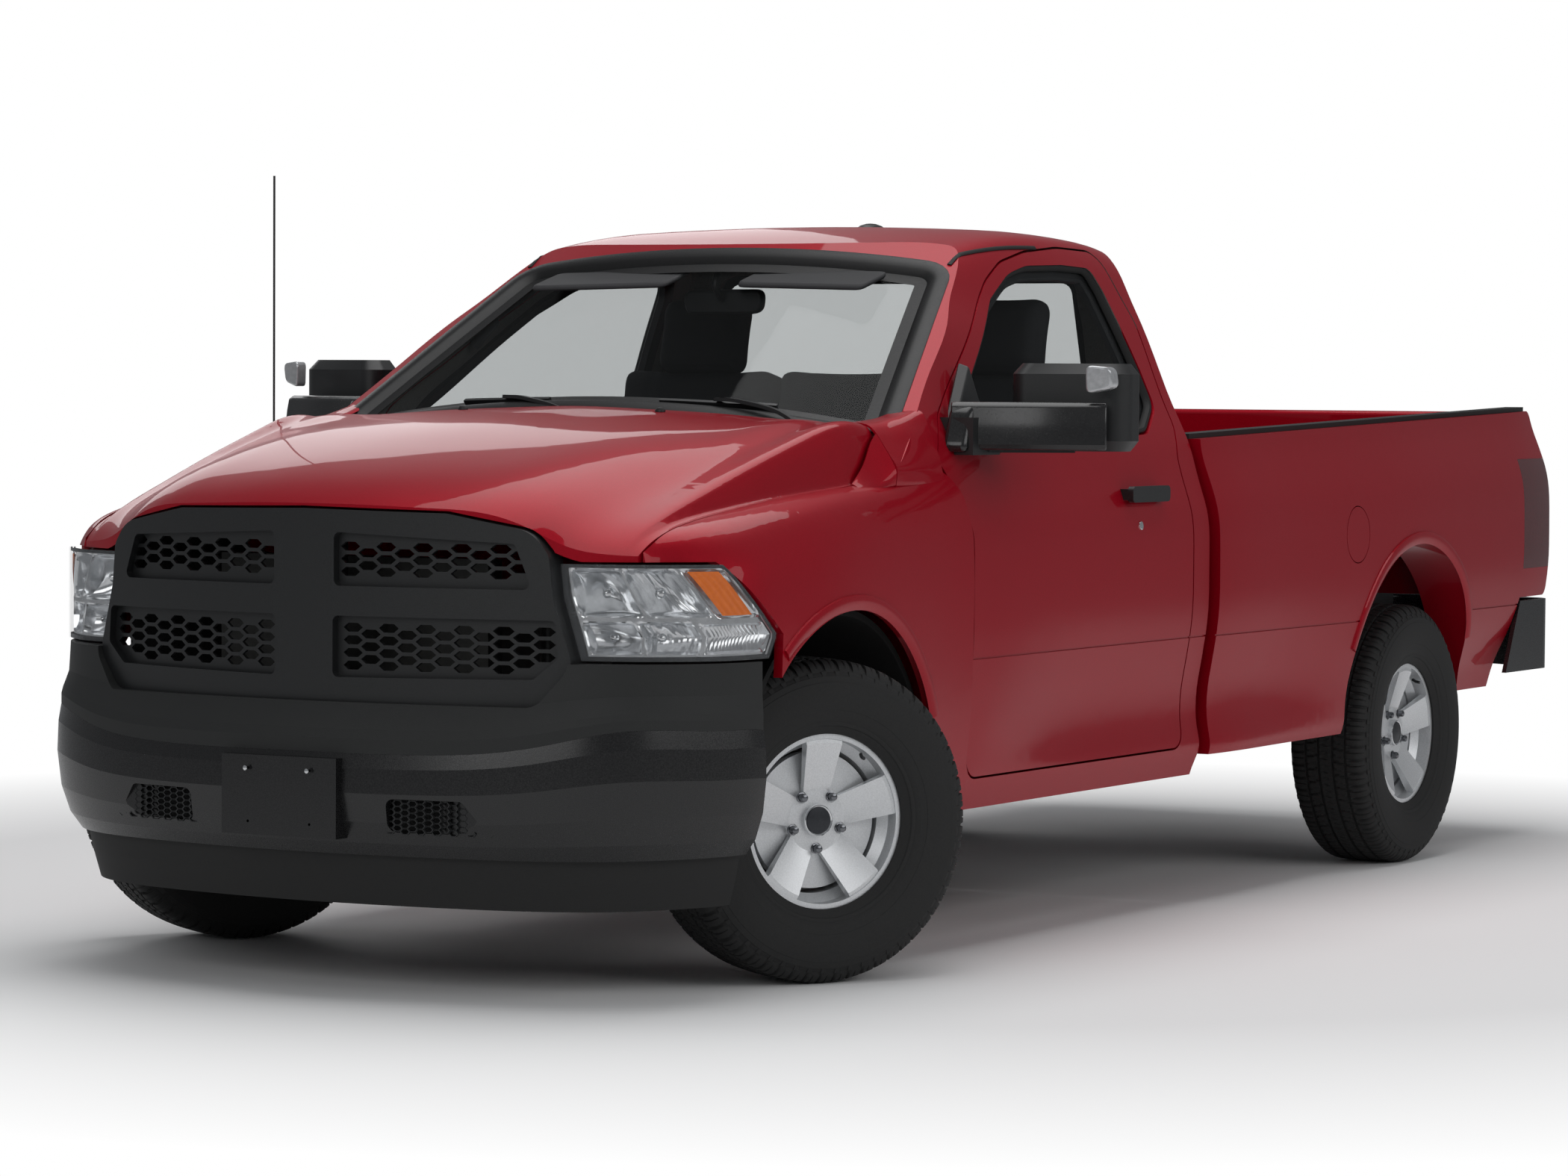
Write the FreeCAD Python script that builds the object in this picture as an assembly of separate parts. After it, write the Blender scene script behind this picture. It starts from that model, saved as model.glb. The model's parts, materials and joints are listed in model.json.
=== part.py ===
"""Full-size pickup truck with a regular cab and a long bed, in millimetres.

Lengths along the truck are laid out from the front axle line: y grows to the rear, x to the
driver's side, z up from the ground. Each finished solid then moves by front_axle_y, which puts
the origin on the ground at mid-length.
"""
import FreeCAD, Part

import math
import os

V = FreeCAD.Vector
UP = V(0, 0, 1)
ACROSS = V(1, 0, 0)
BACK = V(0, 1, 0)

# Overall
overall_length = 5867.0
wheelbase = 3569.0
front_overhang = 1005.0
body_half_width = 1004.0
roof_height = 1896.0
front_axle_y = front_overhang - overall_length / 2

# Running gaps
panel_gap = 6.0
seat_gap = 0.3
overrun = 60.0
rounding_share = 0.49
least_length = 1e-6

# Wheels
tyre_radius = 397.0
loaded_radius = tyre_radius
tyre_width = 265.0
tyre_wall_shares = [(0.45, 1.0), (0.70, 0.985), (0.89, 0.90)]
tyre_shoulder_share = 0.74
tyre_tread_share = 0.35
bead_radius = 214.0
bead_half_width = 95.0
rim_lip_radius = 235.0
rim_well_radius = 192.0
rim_wall = 12.0
rim_lip_reach = 103.0
rim_shoulder_share = 0.6
rim_well_share = 0.4
hub_face_reach = 38.0
hub_radius = 78.0
hub_cap_radius = 40.0
hub_cap_reach = 66.0
spoke_count = 5
spoke_width_hub = 58.0
spoke_width_rim = 104.0
lug_pocket_radius = 15.0
spoke_depth = 34.0
spoke_crown_share = 0.8
spoke_root_share = 1.4
lug_circle_radius = 69.85
disc_radius = 168.0
disc_thickness = 28.0
front_half_track = 871.0
rear_half_track = 863.5
front_steer_deg = 31.0
kingpin_offset = 20.0

# Body side, as heights of belt_height and widths of body_half_width, with the scoop's and tail's tuck
belt_height = 1290.0
rocker_height = 369.0
cab_narrowing = 17.0
side_profile_shares = [
    (0.286, 0.945), (0.320, 0.962), (0.349, 0.974), (0.388, 0.981), (0.434, 0.988), (0.468, 0.992),
    (0.527, 0.996), (0.580, 0.998), (0.640, 0.9995), (0.760, 1.000), (0.860, 0.992), (0.935, 0.962),
    (1.000, 0.937),
]
scoop_shares = [0.0, 0.0, 0.0, 0.014, 0.026, 0.028, 0.020, 0.010, 0.002, 0.0, 0.0, 0.0, 0.0]
tail_tuck_shares = [0.055, 0.060, 0.061, 0.060, 0.056, 0.045, 0.024, 0.012, 0.0025, 0.0, 0.001, 0.005, 0.012]
scoop_front_y = 650.0
scoop_length = 700.0
crease_height = 759.0
crease_width = 5.0
crease_depth = 4.0

# Greenhouse, as heights between belt_height and roof_height and widths of body_half_width
greenhouse_shares = [
    (0.203, 0.862), (0.343, 0.825), (0.564, 0.767), (0.718, 0.725), (0.807, 0.702), (0.891, 0.672),
    (0.937, 0.644), (0.962, 0.598), (0.984, 0.448), (0.996, 0.219),
]
roof_line_shares = [
    (300.0 / wheelbase, 0.790), (0.200, 0.800), (0.300, 0.893), (0.360, 0.962), (0.420, 1.000),
    (0.480, 1.004), (0.535, 0.990), (0.582, 0.955),
]

# Cab shell
cab_front_y = 430.0
cab_back_y = 2068.0
cab_wall = 50.0
door_thickness = 112.0
pillar_thickness = 52.0
roof_thickness = 42.0
floor_thickness = 34.0
floor_half_width = 770.0
hump_half_width = 215.0
hump_crown_share = 0.6
hump_wall = 22.0
hump_top = 722.0
hump_rear_y = 1215.0
cowl_front_y = 338.0
cowl_height = 1345.0
cowl_half_width = 800.0
pillar_foot_height = 1252.0
footwell_y = 640.0

# Windshield
windshield_foot_y = 362.0
windshield_foot_height = 1400.0
windshield_rake_deg = 30.5
windshield_bow_radius = 1980.0
windshield_half_width_foot = 830.0
windshield_half_width_head = 645.0
windshield_head_height = 1800.0
windshield_corner_radius = 70.0
glass_thickness = 6.0

# Rear window
rear_window_half_width = 640.0
rear_window_sill = 1365.0
rear_window_head = 1775.0
rear_window_corner_radius = 60.0

# Doors
door_nose_y = 505.0
door_length = 1520.0
door_sill_height = 455.0
door_height = 1383.0
door_outline_shares = [
    (0.095, 0.000, 0.043), (0.096, 0.170, 0.217), (0.095, 0.322, 0.217), (0.095, 0.456, 0.108),
    (0.073, 0.524, 0.058), (0.030, 0.590, 0.018), (0.092, 0.671, 0.087), (0.217, 0.754, 0.434),
    (0.470, 0.928, 0.289), (0.550, 0.965, 0.181), (0.661, 0.988, 0.362), (0.806, 1.000, 0.362),
    (0.957, 0.996, 0.051), (1.000, 0.857, 0.108), (0.990, 0.647, 0.058), (0.959, 0.584, 0.058),
    (0.957, 0.000, 0.043),
]
window_outline_shares = [
    (0.079, 0.597, 0.011), (0.655, 0.620, 0.000), (0.872, 0.631, 0.058), (0.951, 0.683, 0.043),
    (0.947, 0.756, 0.058), (0.921, 0.915, 0.043), (0.898, 0.963, 0.036), (0.786, 0.967, 0.000),
    (0.641, 0.962, 0.217), (0.562, 0.945, 0.217), (0.457, 0.893, 0.000),
]
glass_inset = 22.0
hinge_heights = [570.0, 1000.0]
hinge_lug_inner_x = 885.0
hinge_lug_width = 55.0
hinge_lug_height = 70.0
handle_centre_y = 1671.0
handle_centre_z = 1166.0
handle_length = 235.0
handle_height = 44.0
handle_stand_off = 34.0
handle_post = 36.0

# Mirrors
mirror_half_span = 1285.0
mirror_head_inner_x = 985.0
mirror_head_y = 905.0
mirror_head_bottom = 1292.0
mirror_head_height = 226.0
mirror_head_depth = 125.0
mirror_sweep_deg = 12.0
mirror_corner_share = 1.4
mirror_level_shares = [(0.0, 0.5), (0.12, 0.0), (0.88, 0.0), (1.0, 0.5)]
mirror_arm_height = 84.0
mirror_arm_depth = 52.0
mirror_foot_y = 722.0
mirror_foot_length = 150.0
mirror_foot_height = 96.0
mirror_foot_z = 1330.0

# Front fenders
fender_thickness = 24.0
fender_bottom = 430.0
fender_foot_shares = [1.0, 1.45, 1.9]
fender_shoulder_share = 0.82
fender_shoulder_lift_share = 0.1
fender_crown_shares = [(0.86, 0.9, 0.4, 0.52), (0.46, 0.55, 0.8, 0.13)]
fender_rear_rise_share = 0.11
fender_stations = [
    # share of the wheelbase behind the axle, then share of the body side's width
    (-0.1935, 0.826), (-0.186, 0.856), (-0.176, 0.900), (-0.165, 0.934), (-0.153, 0.960),
    (-0.132, 0.980), (-0.090, 0.992), (-0.034, 1.002), (0.028, 0.999), (0.092, 0.990), (0.185, 0.985),
]
fender_section_count = 19

# Wheel arches
front_arch_radius = 470.0
front_arch_height = 915.0
rear_arch_radius = 505.0
rear_arch_height = 984.0
arch_drop = 300.0

# Hood
hood_thickness = 26.0
hood_crown_height = 1400.0
hood_rear_y = 326.0
hood_rear_bow = 26.0
hood_nose_y = -902.0
hood_nose_height = 1172.0
hood_half_width_rear = 903.0
hood_half_width_front = 806.0
hood_front_corner_y = -700.0
hood_edge_height_front = 1058.0
hood_edge_height_rear = 1216.0
hood_blend_share = 1.3
hood_nose_power_share = 2.4
hood_side_power_share = 0.8
hood_along_shares = [0.0, 0.05, 0.14, 0.30, 0.52, 0.76, 1.0]
hood_crown_shares = [0.0, 0.16, 0.34, 0.55, 0.76, 0.91, 1.0]
hood_edge_shares = [0.0, 0.22, 0.42, 0.60, 0.78, 0.92, 1.0]
hood_across_shares = [0.0, 0.22, 0.42, 0.58, 0.70, 0.80, 0.88, 0.95, 0.985, 1.0]
hood_rise_front_shares = [1.0, 0.985, 0.94, 0.86, 0.60, 0.24, 0.07, 0.02, 0.005, 0.0]
hood_rise_rear_shares = [1.0, 0.970, 0.93, 0.88, 0.84, 0.81, 0.77, 0.70, 0.52, 0.0]
hood_rest_x = 560.0
hood_rest_width = 80.0

# Grille
grille_half_width = 640.0
grille_top = 1160.0
grille_bottom = 704.0
grille_depth = 60.0
grille_crown_y = -905.0
grille_sweep_radius = 2100.0
grille_outline_shares = [
    (0.0, 1.000, 0.0), (0.60, 0.985, 0.0), (0.92, 0.900, 0.20), (0.985, 0.780, 0.10),
    (1.0, 0.560, 0.10), (1.075, 0.200, 0.12), (0.960, 0.0, 0.10),
]
grille_upper_shares = [(0.135, 0.88), (0.86, 0.835), (0.925, 0.60), (0.135, 0.60)]
grille_lower_shares = [(0.130, 0.445), (1.010, 0.445), (1.020, 0.25), (0.930, 0.140), (0.130, 0.125)]
mesh_cell_width = 62.0
mesh_column_share = 0.78
mesh_corner_share = 0.9
mesh_cell_height = 30.0
mesh_strand = 9.0
mesh_margin = 6.0
mesh_thickness = 10.0
mesh_recess = 22.0

# Headlamps
lamp_top = 1038.0
lamp_bottom = 812.0
lamp_inner_x = 600.0
lamp_inner_y = -768.0
lamp_end_x = 990.0
lamp_outer_y = -556.0
lamp_tail_y = -352.0
lamp_tail_height = 868.0
lamp_foot_share = 1.10
lamp_depth = 150.0
lamp_front_shares = [
    (0.0, 0.0), (0.28, 0.060), (0.54, 0.155), (0.782, 0.337), (0.931, 0.53), (0.985, 0.76), (1.0, 1.0),
]

# Bumper cover, front bumper and air dam
cover_top = 806.0
cover_split_height = 588.0
cover_split_rise = 64.0
cover_lean = 72.0
bumper_bottom = 345.0
bumper_wall = 55.0
bumper_half_width = 992.0
bumper_apex_y = -982.0
bumper_end_y = -432.0
bumper_bracket_y = -900.0
nose_shares = [
    # across, along, rise of the split line, lean of the cover
    (0.0, 0.0, 0.0, 1.0), (0.383, 0.058, 0.03, 0.97), (0.645, 0.176, 0.42, 0.80),
    (0.806, 0.345, 0.97, 0.50), (0.912, 0.571, 1.0, 0.28), (0.973, 0.795, 0.93, 0.14),
    (1.0, 1.0, 0.86, 0.06),
]
cover_section_shares = [(1.0, 1.0), (0.80, 0.52), (0.16, 0.26), (0.0, 0.16), (0.0, 0.0)]
bumper_section_shares = [(0.0, 1.0), (-0.10, 0.86), (-0.14, 0.62), (0.0, 0.34), (0.30, 0.13), (0.70, 0.0)]
dam_section_shares = [(0.94, 1.0), (1.10, 0.55), (1.36, 0.0)]
dam_bottom = 222.0
dam_wall = 30.0
plate_width = 330.0
plate_height = 190.0
plate_bottom = 386.0
plate_hole_radius = 3.5
plate_hole_spacing_x = 177.8
plate_hole_spacing_z = 127.0
fog_slot_inner_x = 282.0
fog_slot_outer_x = 535.0
fog_slot_bottom = 406.0
fog_slot_top = 485.0

# Frame
rail_centre_x = 425.0
rail_width = 80.0
rail_height = 140.0
rail_front_y = -760.0
rail_rear_y = 4640.0
rail_low_height = 355.0
rail_front_height = 430.0
rail_bend_share = 1.4
rail_kick_y = 3330.0
member_height = 60.0
member_length = 110.0
member_drop = 55.0
member_shares = [0.350, 0.490, 0.680]
level_member_shares = [-0.190, 0.895, 1.085, 1.280]
axle_member_top = 385.0

# Front suspension
arm_height = 287.0
arm_thickness = 32.0
arm_base_half_length = 170.0
arm_tip_half_width = 36.0
arm_neck_length = 150.0
upper_arm_share = 0.7
stub_share = 0.6
knuckle_radius = 22.0
upper_arm_height = 507.0
front_spring_radius = 52.0
front_spring_x = 600.0
front_spring_top = 740.0

# Rear suspension
axle_tube_radius = 42.0
differential_radius = 150.0
differential_width = 240.0
link_thickness = 46.0
link_front_y = 2980.0
spring_radius = 70.0
shock_radius = 26.0
shock_centre_x = 560.0
shock_centre_y = 3690.0

# Engine, driveline and exhaust
engine_length = 640.0
engine_width = 560.0
engine_height = 560.0
engine_front_y = -300.0
crank_height = 440.0
gearbox_length = 800.0
gearbox_radius_front = 180.0
gearbox_radius_rear = 90.0
shaft_radius = 44.0
radiator_width = 780.0
radiator_height = 470.0
radiator_depth = 60.0
radiator_y = -640.0
exhaust_radius = 34.0
exhaust_x = -250.0
muffler_front_y = 1830.0
muffler_length = 500.0
muffler_width = 220.0
muffler_height = 120.0

# Tank and spare wheel
tank_length = 800.0
tank_width = 280.0
tank_height = 270.0
tank_front_y = 2120.0
tank_bottom = 400.0
spare_centre_y = 4170.0

# Cab interior
dash_depth = 320.0
dash_height = 330.0
dash_top = 1318.0
dash_rear_y = 985.0
dash_foot_share = 1.3
dash_knee_share = 0.6
dash_side_share = 2.4
steering_wheel_radius = 190.0
steering_rim_radius = 16.0
steering_wheel_x = 430.0
steering_wheel_y = 1080.0
steering_wheel_height = 1290.0
steering_wheel_tilt_deg = 24.0
steering_spoke_share = 0.8
seat_half_width = 760.0
seat_front_y = 1230.0
seat_depth = 520.0
seat_height = 860.0
seat_thickness = 190.0
seat_back_height = 640.0
seat_back_thickness = 160.0
seat_back_lean_deg = 12.0
head_rest_half_width = 140.0
head_rest_height = 190.0
head_rest_depth = 95.0
head_rest_x = 480.0

# Load bed
bed_front_y = 2104.0
bed_rear_y = 4726.0
bed_floor_height = 850.0
bed_floor_thickness = 45.0
bed_inner_half_width = 843.0
bed_front_rail_height = 1312.0
bed_rear_rail_height = 1384.0
bed_bottom_front = 425.0
bed_bottom_rear = 500.0
bed_front_wall = 44.0
bed_tail_narrowing_share = 0.972
bed_edge_share = 0.985
bed_edge_tuck_share = 1.6
bed_stations = [
    # share along, width, scoop and tail tuck
    (0.0, 1.0, 1.0, 0.0), (0.18, 1.002, 1.0, 0.0), (0.34, 1.004, 0.4, 0.15), (0.55, 1.006, 0.0, 0.55),
    (0.75, 0.998, 0.0, 1.0), (0.88, 0.990, 0.0, 1.0), (1.0, bed_tail_narrowing_share, 0.0, 1.0),
]
bed_post_length = 87.0
wheelhouse_inner_x = 647.0
wheelhouse_height = 1062.0
wheelhouse_half_length = 490.0
wheelhouse_wall = 18.0
liner_gap_share = 2.5
liner_setback_share = 3
rail_cap_height = 14.0
tail_lamp_front_y = 4462.0
tail_lamp_bottom = 877.0
tail_lamp_top = 1230.0
tail_lamp_wrap = 96.0

# Tailgate
tailgate_thickness = 62.0
tailgate_bottom = 838.0
tailgate_top = 1380.0
tailgate_half_width = 768.0
tailgate_pin_height = 870.0
tailgate_pin_radius = 11.0
tailgate_pin_reach = 20.0

# Rear bumper
rear_bumper_half_width = 978.0
rear_bumper_apex_share = 0.7
rear_bumper_turn_share = 1.5
rear_bumper_top = 772.0
rear_bumper_bottom = 545.0
rear_bumper_wall = 14.0
step_pad_thickness = 12.0
tow_ball_y = 4771.0
rear_bumper_apex_y = 4862.0
rear_bumper_corner_y = 4740.0
rear_bumper_front_y = 4352.0
rear_bumper_top_y = 4470.0
tow_ball_hole_radius = 13.0

# Fuel door
fuel_door_y = 3073.0
fuel_door_z = 1021.0
fuel_door_radius = 83.0
fuel_door_depth = 30.0
fuel_door_thickness = 9.0
fuel_boss_length = 34.0

# Antenna
antenna_x = -930.0
antenna_y = 268.0
antenna_top = 2005.0
antenna_foot_share = 0.93
antenna_rod_radius = 3.0
antenna_foot_radius = 16.0
antenna_foot_height = 60.0


# Heights that follow from what carries them
floor_height = rail_low_height + rail_height + seat_gap + floor_thickness
rail_rear_height = bed_floor_height - bed_floor_thickness - seat_gap - rail_height
engine_bottom = axle_member_top + seat_gap
radiator_bottom = rail_front_height + rail_height + seat_gap
spare_top = rail_rear_height - seat_gap
exhaust_height = rail_low_height - member_drop + member_height + 2 * seat_gap + exhaust_radius


def place(shape):
    """Moves a solid from the axle line to the truck's own origin."""
    moved = shape.copy()
    moved.translate(V(0, front_axle_y, 0))
    return moved


def keep(name, *shapes):
    """Writes one sub-part, as one solid or as several that do not touch."""
    solids = [solid for shape in shapes for solid in shape.Solids]
    body = Part.makeCompound([place(solid) for solid in solids])
    body.exportStep(os.path.join("parts", name + ".step"))


def mirrored(shape):
    """The same solid on the other side of the truck."""
    return shape.mirror(V(0, 0, 0), ACROSS)


def both_sides(shape):
    return [shape, mirrored(shape)]


def rounded_wire(corners):
    """A closed wire through flat corners, each rounded by its own radius."""
    edges = []
    ends = []
    for index, (point, radius) in enumerate(corners):
        before = corners[index - 1][0] - point
        after = corners[(index + 1) % len(corners)][0] - point
        half_angle = before.getAngle(after) / 2
        reach = radius / math.tan(half_angle) if radius else 0.0
        reach = min(reach, rounding_share * before.Length, rounding_share * after.Length)
        before.normalize()
        after.normalize()
        start = point + before * reach
        finish = point + after * reach
        if reach > least_length:
            fitted = reach * math.tan(half_angle)
            middle_way = (before + after).normalize()
            centre = point + middle_way * (fitted / math.sin(half_angle))
            edges.append((start, centre - middle_way * fitted, finish))
        ends.append((start, finish))
    wire_edges = []
    arcs = iter(edges)
    for index, (start, finish) in enumerate(ends):
        if (finish - start).Length > least_length:
            wire_edges.append(Part.Arc(*next(arcs)).toShape())
        following = ends[(index + 1) % len(ends)][0]
        if (following - finish).Length > least_length:
            wire_edges.append(Part.makeLine(finish, following))
    return Part.Wire(wire_edges)


def prism(corners, along):
    """A flat outline, with or without rounded corners, pushed along a vector."""
    listed = [corner if isinstance(corner, tuple) else (corner, 0.0) for corner in corners]
    return Part.Face(rounded_wire(listed)).extrude(along)


def side_prism(outline, x_from, x_to):
    """An outline in side view, as (y, z) or (y, z, radius), pushed across the truck."""
    corners = [(V(x_from, c[0], c[1]), c[2] if len(c) > 2 else 0.0) for c in outline]
    return prism(corners, V(x_to - x_from, 0, 0))


def front_prism(outline, y_from, y_to):
    """An outline in front view, as (x, z) or (x, z, radius), pushed along the truck."""
    corners = [(V(c[0], y_from, c[1]), c[2] if len(c) > 2 else 0.0) for c in outline]
    return prism(corners, V(0, y_to - y_from, 0))


def plan_prism(outline, z_from, z_to):
    """An outline in plan, as (x, y) or (x, y, radius), pushed upward."""
    corners = [(V(c[0], c[1], z_from), c[2] if len(c) > 2 else 0.0) for c in outline]
    return prism(corners, V(0, 0, z_to - z_from))


def block(x_from, x_to, y_from, y_to, z_from, z_to):
    return Part.makeBox(x_to - x_from, y_to - y_from, z_to - z_from, V(x_from, y_from, z_from))


def rod(start, finish, radius):
    """A round bar between two points."""
    way = finish - start
    return Part.makeCylinder(radius, way.Length, start, way)


def beam(start, finish, width, height):
    """A rectangular bar between two points, its height as near upright as it can be."""
    way = finish - start
    level = way.cross(UP)
    side = level.normalize() * (width / 2)
    rise = side.cross(way).normalize() * (height / 2)
    corners = [start + side + rise, start + side - rise, start - side - rise, start - side + rise]
    return prism(corners, way)


def scaled_outline(shares, y_from, length, z_from, height):
    """An outline whose corners are shares of a length and a height."""
    outline = []
    for share in shares:
        radius = share[2] * height if len(share) > 2 else 0.0
        outline.append((y_from + share[0] * length, z_from + share[1] * height, radius))
    return outline


def curve_at(stations, values, place_on):
    """The height of a smooth line through stations and values."""
    points = [V(station, value, 0) for station, value in zip(stations, values)]
    line = Part.BSplineCurve()
    line.interpolate(points)
    low = line.FirstParameter
    high = line.LastParameter
    for _ in range(40):
        middle = (low + high) / 2
        if line.value(middle).x < place_on:
            low = middle
        else:
            high = middle
    return line.value((low + high) / 2).y


def side_half_width(height):
    """Half the body's width at a height below the belt line."""
    stations = [share[0] * belt_height for share in side_profile_shares]
    widths = [share[1] * body_half_width for share in side_profile_shares]
    return curve_at(stations, widths, height)


def cab_section_points(y, roof, inset_side, inset_pillar, inset_roof):
    """The cab's half section as (x, z), from rocker to roof centre, moved inward by the insets."""
    scoop = min(max((y - scoop_front_y) / scoop_length, 0.0), 1.0)
    points = []
    for (height_share, width_share), deep in zip(side_profile_shares, scoop_shares):
        width = (width_share - scoop * deep) * body_half_width - cab_narrowing
        points.append((width - inset_side, height_share * belt_height))
    pillar_top = len(greenhouse_shares) - 5
    fixed_share = greenhouse_shares[2][0]
    fixed_height = belt_height + fixed_share * (roof_height - belt_height)
    for index, (height_share, width_share) in enumerate(greenhouse_shares):
        height = belt_height + height_share * (roof_height - belt_height)
        if height > fixed_height:
            height = fixed_height + (height - fixed_height) * (roof - fixed_height) / (
                roof_height - fixed_height
            )
        lean = min(max((index - pillar_top) / 3, 0.0), 1.0)
        width = width_share * body_half_width
        points.append((width - inset_pillar * (1 - lean), height - inset_roof * lean))
    points.append((0.0, roof - inset_roof))
    return points


def cab_tunnel(inset_side, inset_pillar, inset_roof):
    """The cab as a long tunnel: its section carried from the cowl to behind the back wall."""
    wires = []
    for y_share, height_share in roof_line_shares:
        roof = belt_height + height_share * (roof_height - belt_height)
        y = y_share * wheelbase
        half = cab_section_points(y, roof, inset_side, inset_pillar, inset_roof)
        left = [V(x, y, z) for x, z in half]
        right = [V(-x, y, z) for x, z in reversed(half[:-1])]
        line = Part.BSplineCurve()
        line.interpolate(left + right)
        wires.append(Part.Wire([line.toShape(), Part.makeLine(right[-1], left[0])]))
    return Part.makeLoft(wires, True, False)


def windshield_slab(depth_from, depth_to):
    """A bowed, raked slab whose outer face is the windshield, moved inward by the depths."""
    rake = math.radians(windshield_rake_deg)
    way = V(0, math.cos(rake), math.sin(rake))
    half = body_half_width + overrun
    bow = half * half / (2 * windshield_bow_radius)
    reach = roof_height * 2
    foot = V(0, windshield_foot_y, windshield_foot_height) - way * (reach / 2)
    faces = []
    for depth in (depth_from, depth_to):
        shift = foot + BACK * (depth / math.sin(rake))
        ends = V(half, bow, 0)
        other = V(-half, bow, 0)
        faces.append((shift + ends, shift, shift + other))
    near, far = faces
    edges = [
        Part.Arc(*near).toShape(),
        Part.makeLine(near[2], far[2]),
        Part.Arc(far[2], far[1], far[0]).toShape(),
        Part.makeLine(far[0], near[0]),
    ]
    return Part.Face(Part.Wire(edges)).extrude(way * reach)


def windshield_opening(margin):
    """The windshield's outline, as a prism across its rake."""
    rake = math.radians(windshield_rake_deg)
    way = V(0, math.cos(rake), math.sin(rake))
    out = V(0, -math.sin(rake), math.cos(rake))
    foot = V(0, windshield_foot_y, windshield_foot_height) + way * (glass_inset - margin)
    rise = (windshield_head_height - windshield_foot_height) / math.sin(rake)
    head = foot + way * (rise + 2 * margin)
    deep = windshield_bow_radius / 5
    low = windshield_half_width_foot + margin
    high = windshield_half_width_head + margin
    corners = [
        (foot + ACROSS * low, windshield_corner_radius),
        (head + ACROSS * high, windshield_corner_radius),
        (head - ACROSS * high, windshield_corner_radius),
        (foot - ACROSS * low, windshield_corner_radius),
    ]
    moved = [(point - out * deep, radius) for point, radius in corners]
    return prism(moved, out * (2 * deep))


def door_outline(grow):
    """The door's cut line in side view, grown by the running gap."""
    outline = scaled_outline(
        door_outline_shares, door_nose_y, door_length, door_sill_height, door_height
    )
    if not grow:
        return outline
    face = Part.Face(rounded_wire([(V(0, y, z), r) for y, z, r in outline]))
    wider = face.makeOffset2D(grow)
    return wider


def door_tool(grow):
    """The door's outline as a prism on the driver's side."""
    reach = body_half_width + overrun
    inner = windshield_half_width_head - door_thickness
    if not grow:
        return side_prism(door_outline(0), inner, reach)
    face = door_outline(grow)
    face.translate(V(inner, 0, 0))
    return face.extrude(V(reach - inner, 0, 0))


def window_tool(shrink):
    outline = scaled_outline(
        window_outline_shares, door_nose_y, door_length, door_sill_height, door_height
    )
    reach = body_half_width + overrun
    inner = windshield_half_width_head - door_thickness
    face = Part.Face(rounded_wire([(V(inner, y, z), r) for y, z, r in outline]))
    if shrink:
        face = face.makeOffset2D(-shrink)
    return face.extrude(V(reach - inner, 0, 0))


def cab_outline(front, low_front, foot, bottom, back):
    """The cab in side view, from rocker to above the roof."""
    top = roof_height + overrun
    return [
        (footwell_y - low_front, bottom), (back, bottom), (back, top), (foot, top),
        (foot, pillar_foot_height), (front, pillar_foot_height), (front, fender_bottom * 2),
    ]


def hump(inset):
    """The floor's hump over the gearbox."""
    half = hump_half_width - inset
    crown = half * hump_crown_share
    return front_prism(
        [
            (-half, 0.0, 0.0), (half, 0.0, 0.0), (half, hump_top - inset, crown),
            (-half, hump_top - inset, crown),
        ],
        cab_front_y - overrun,
        hump_rear_y - inset,
    )


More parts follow.
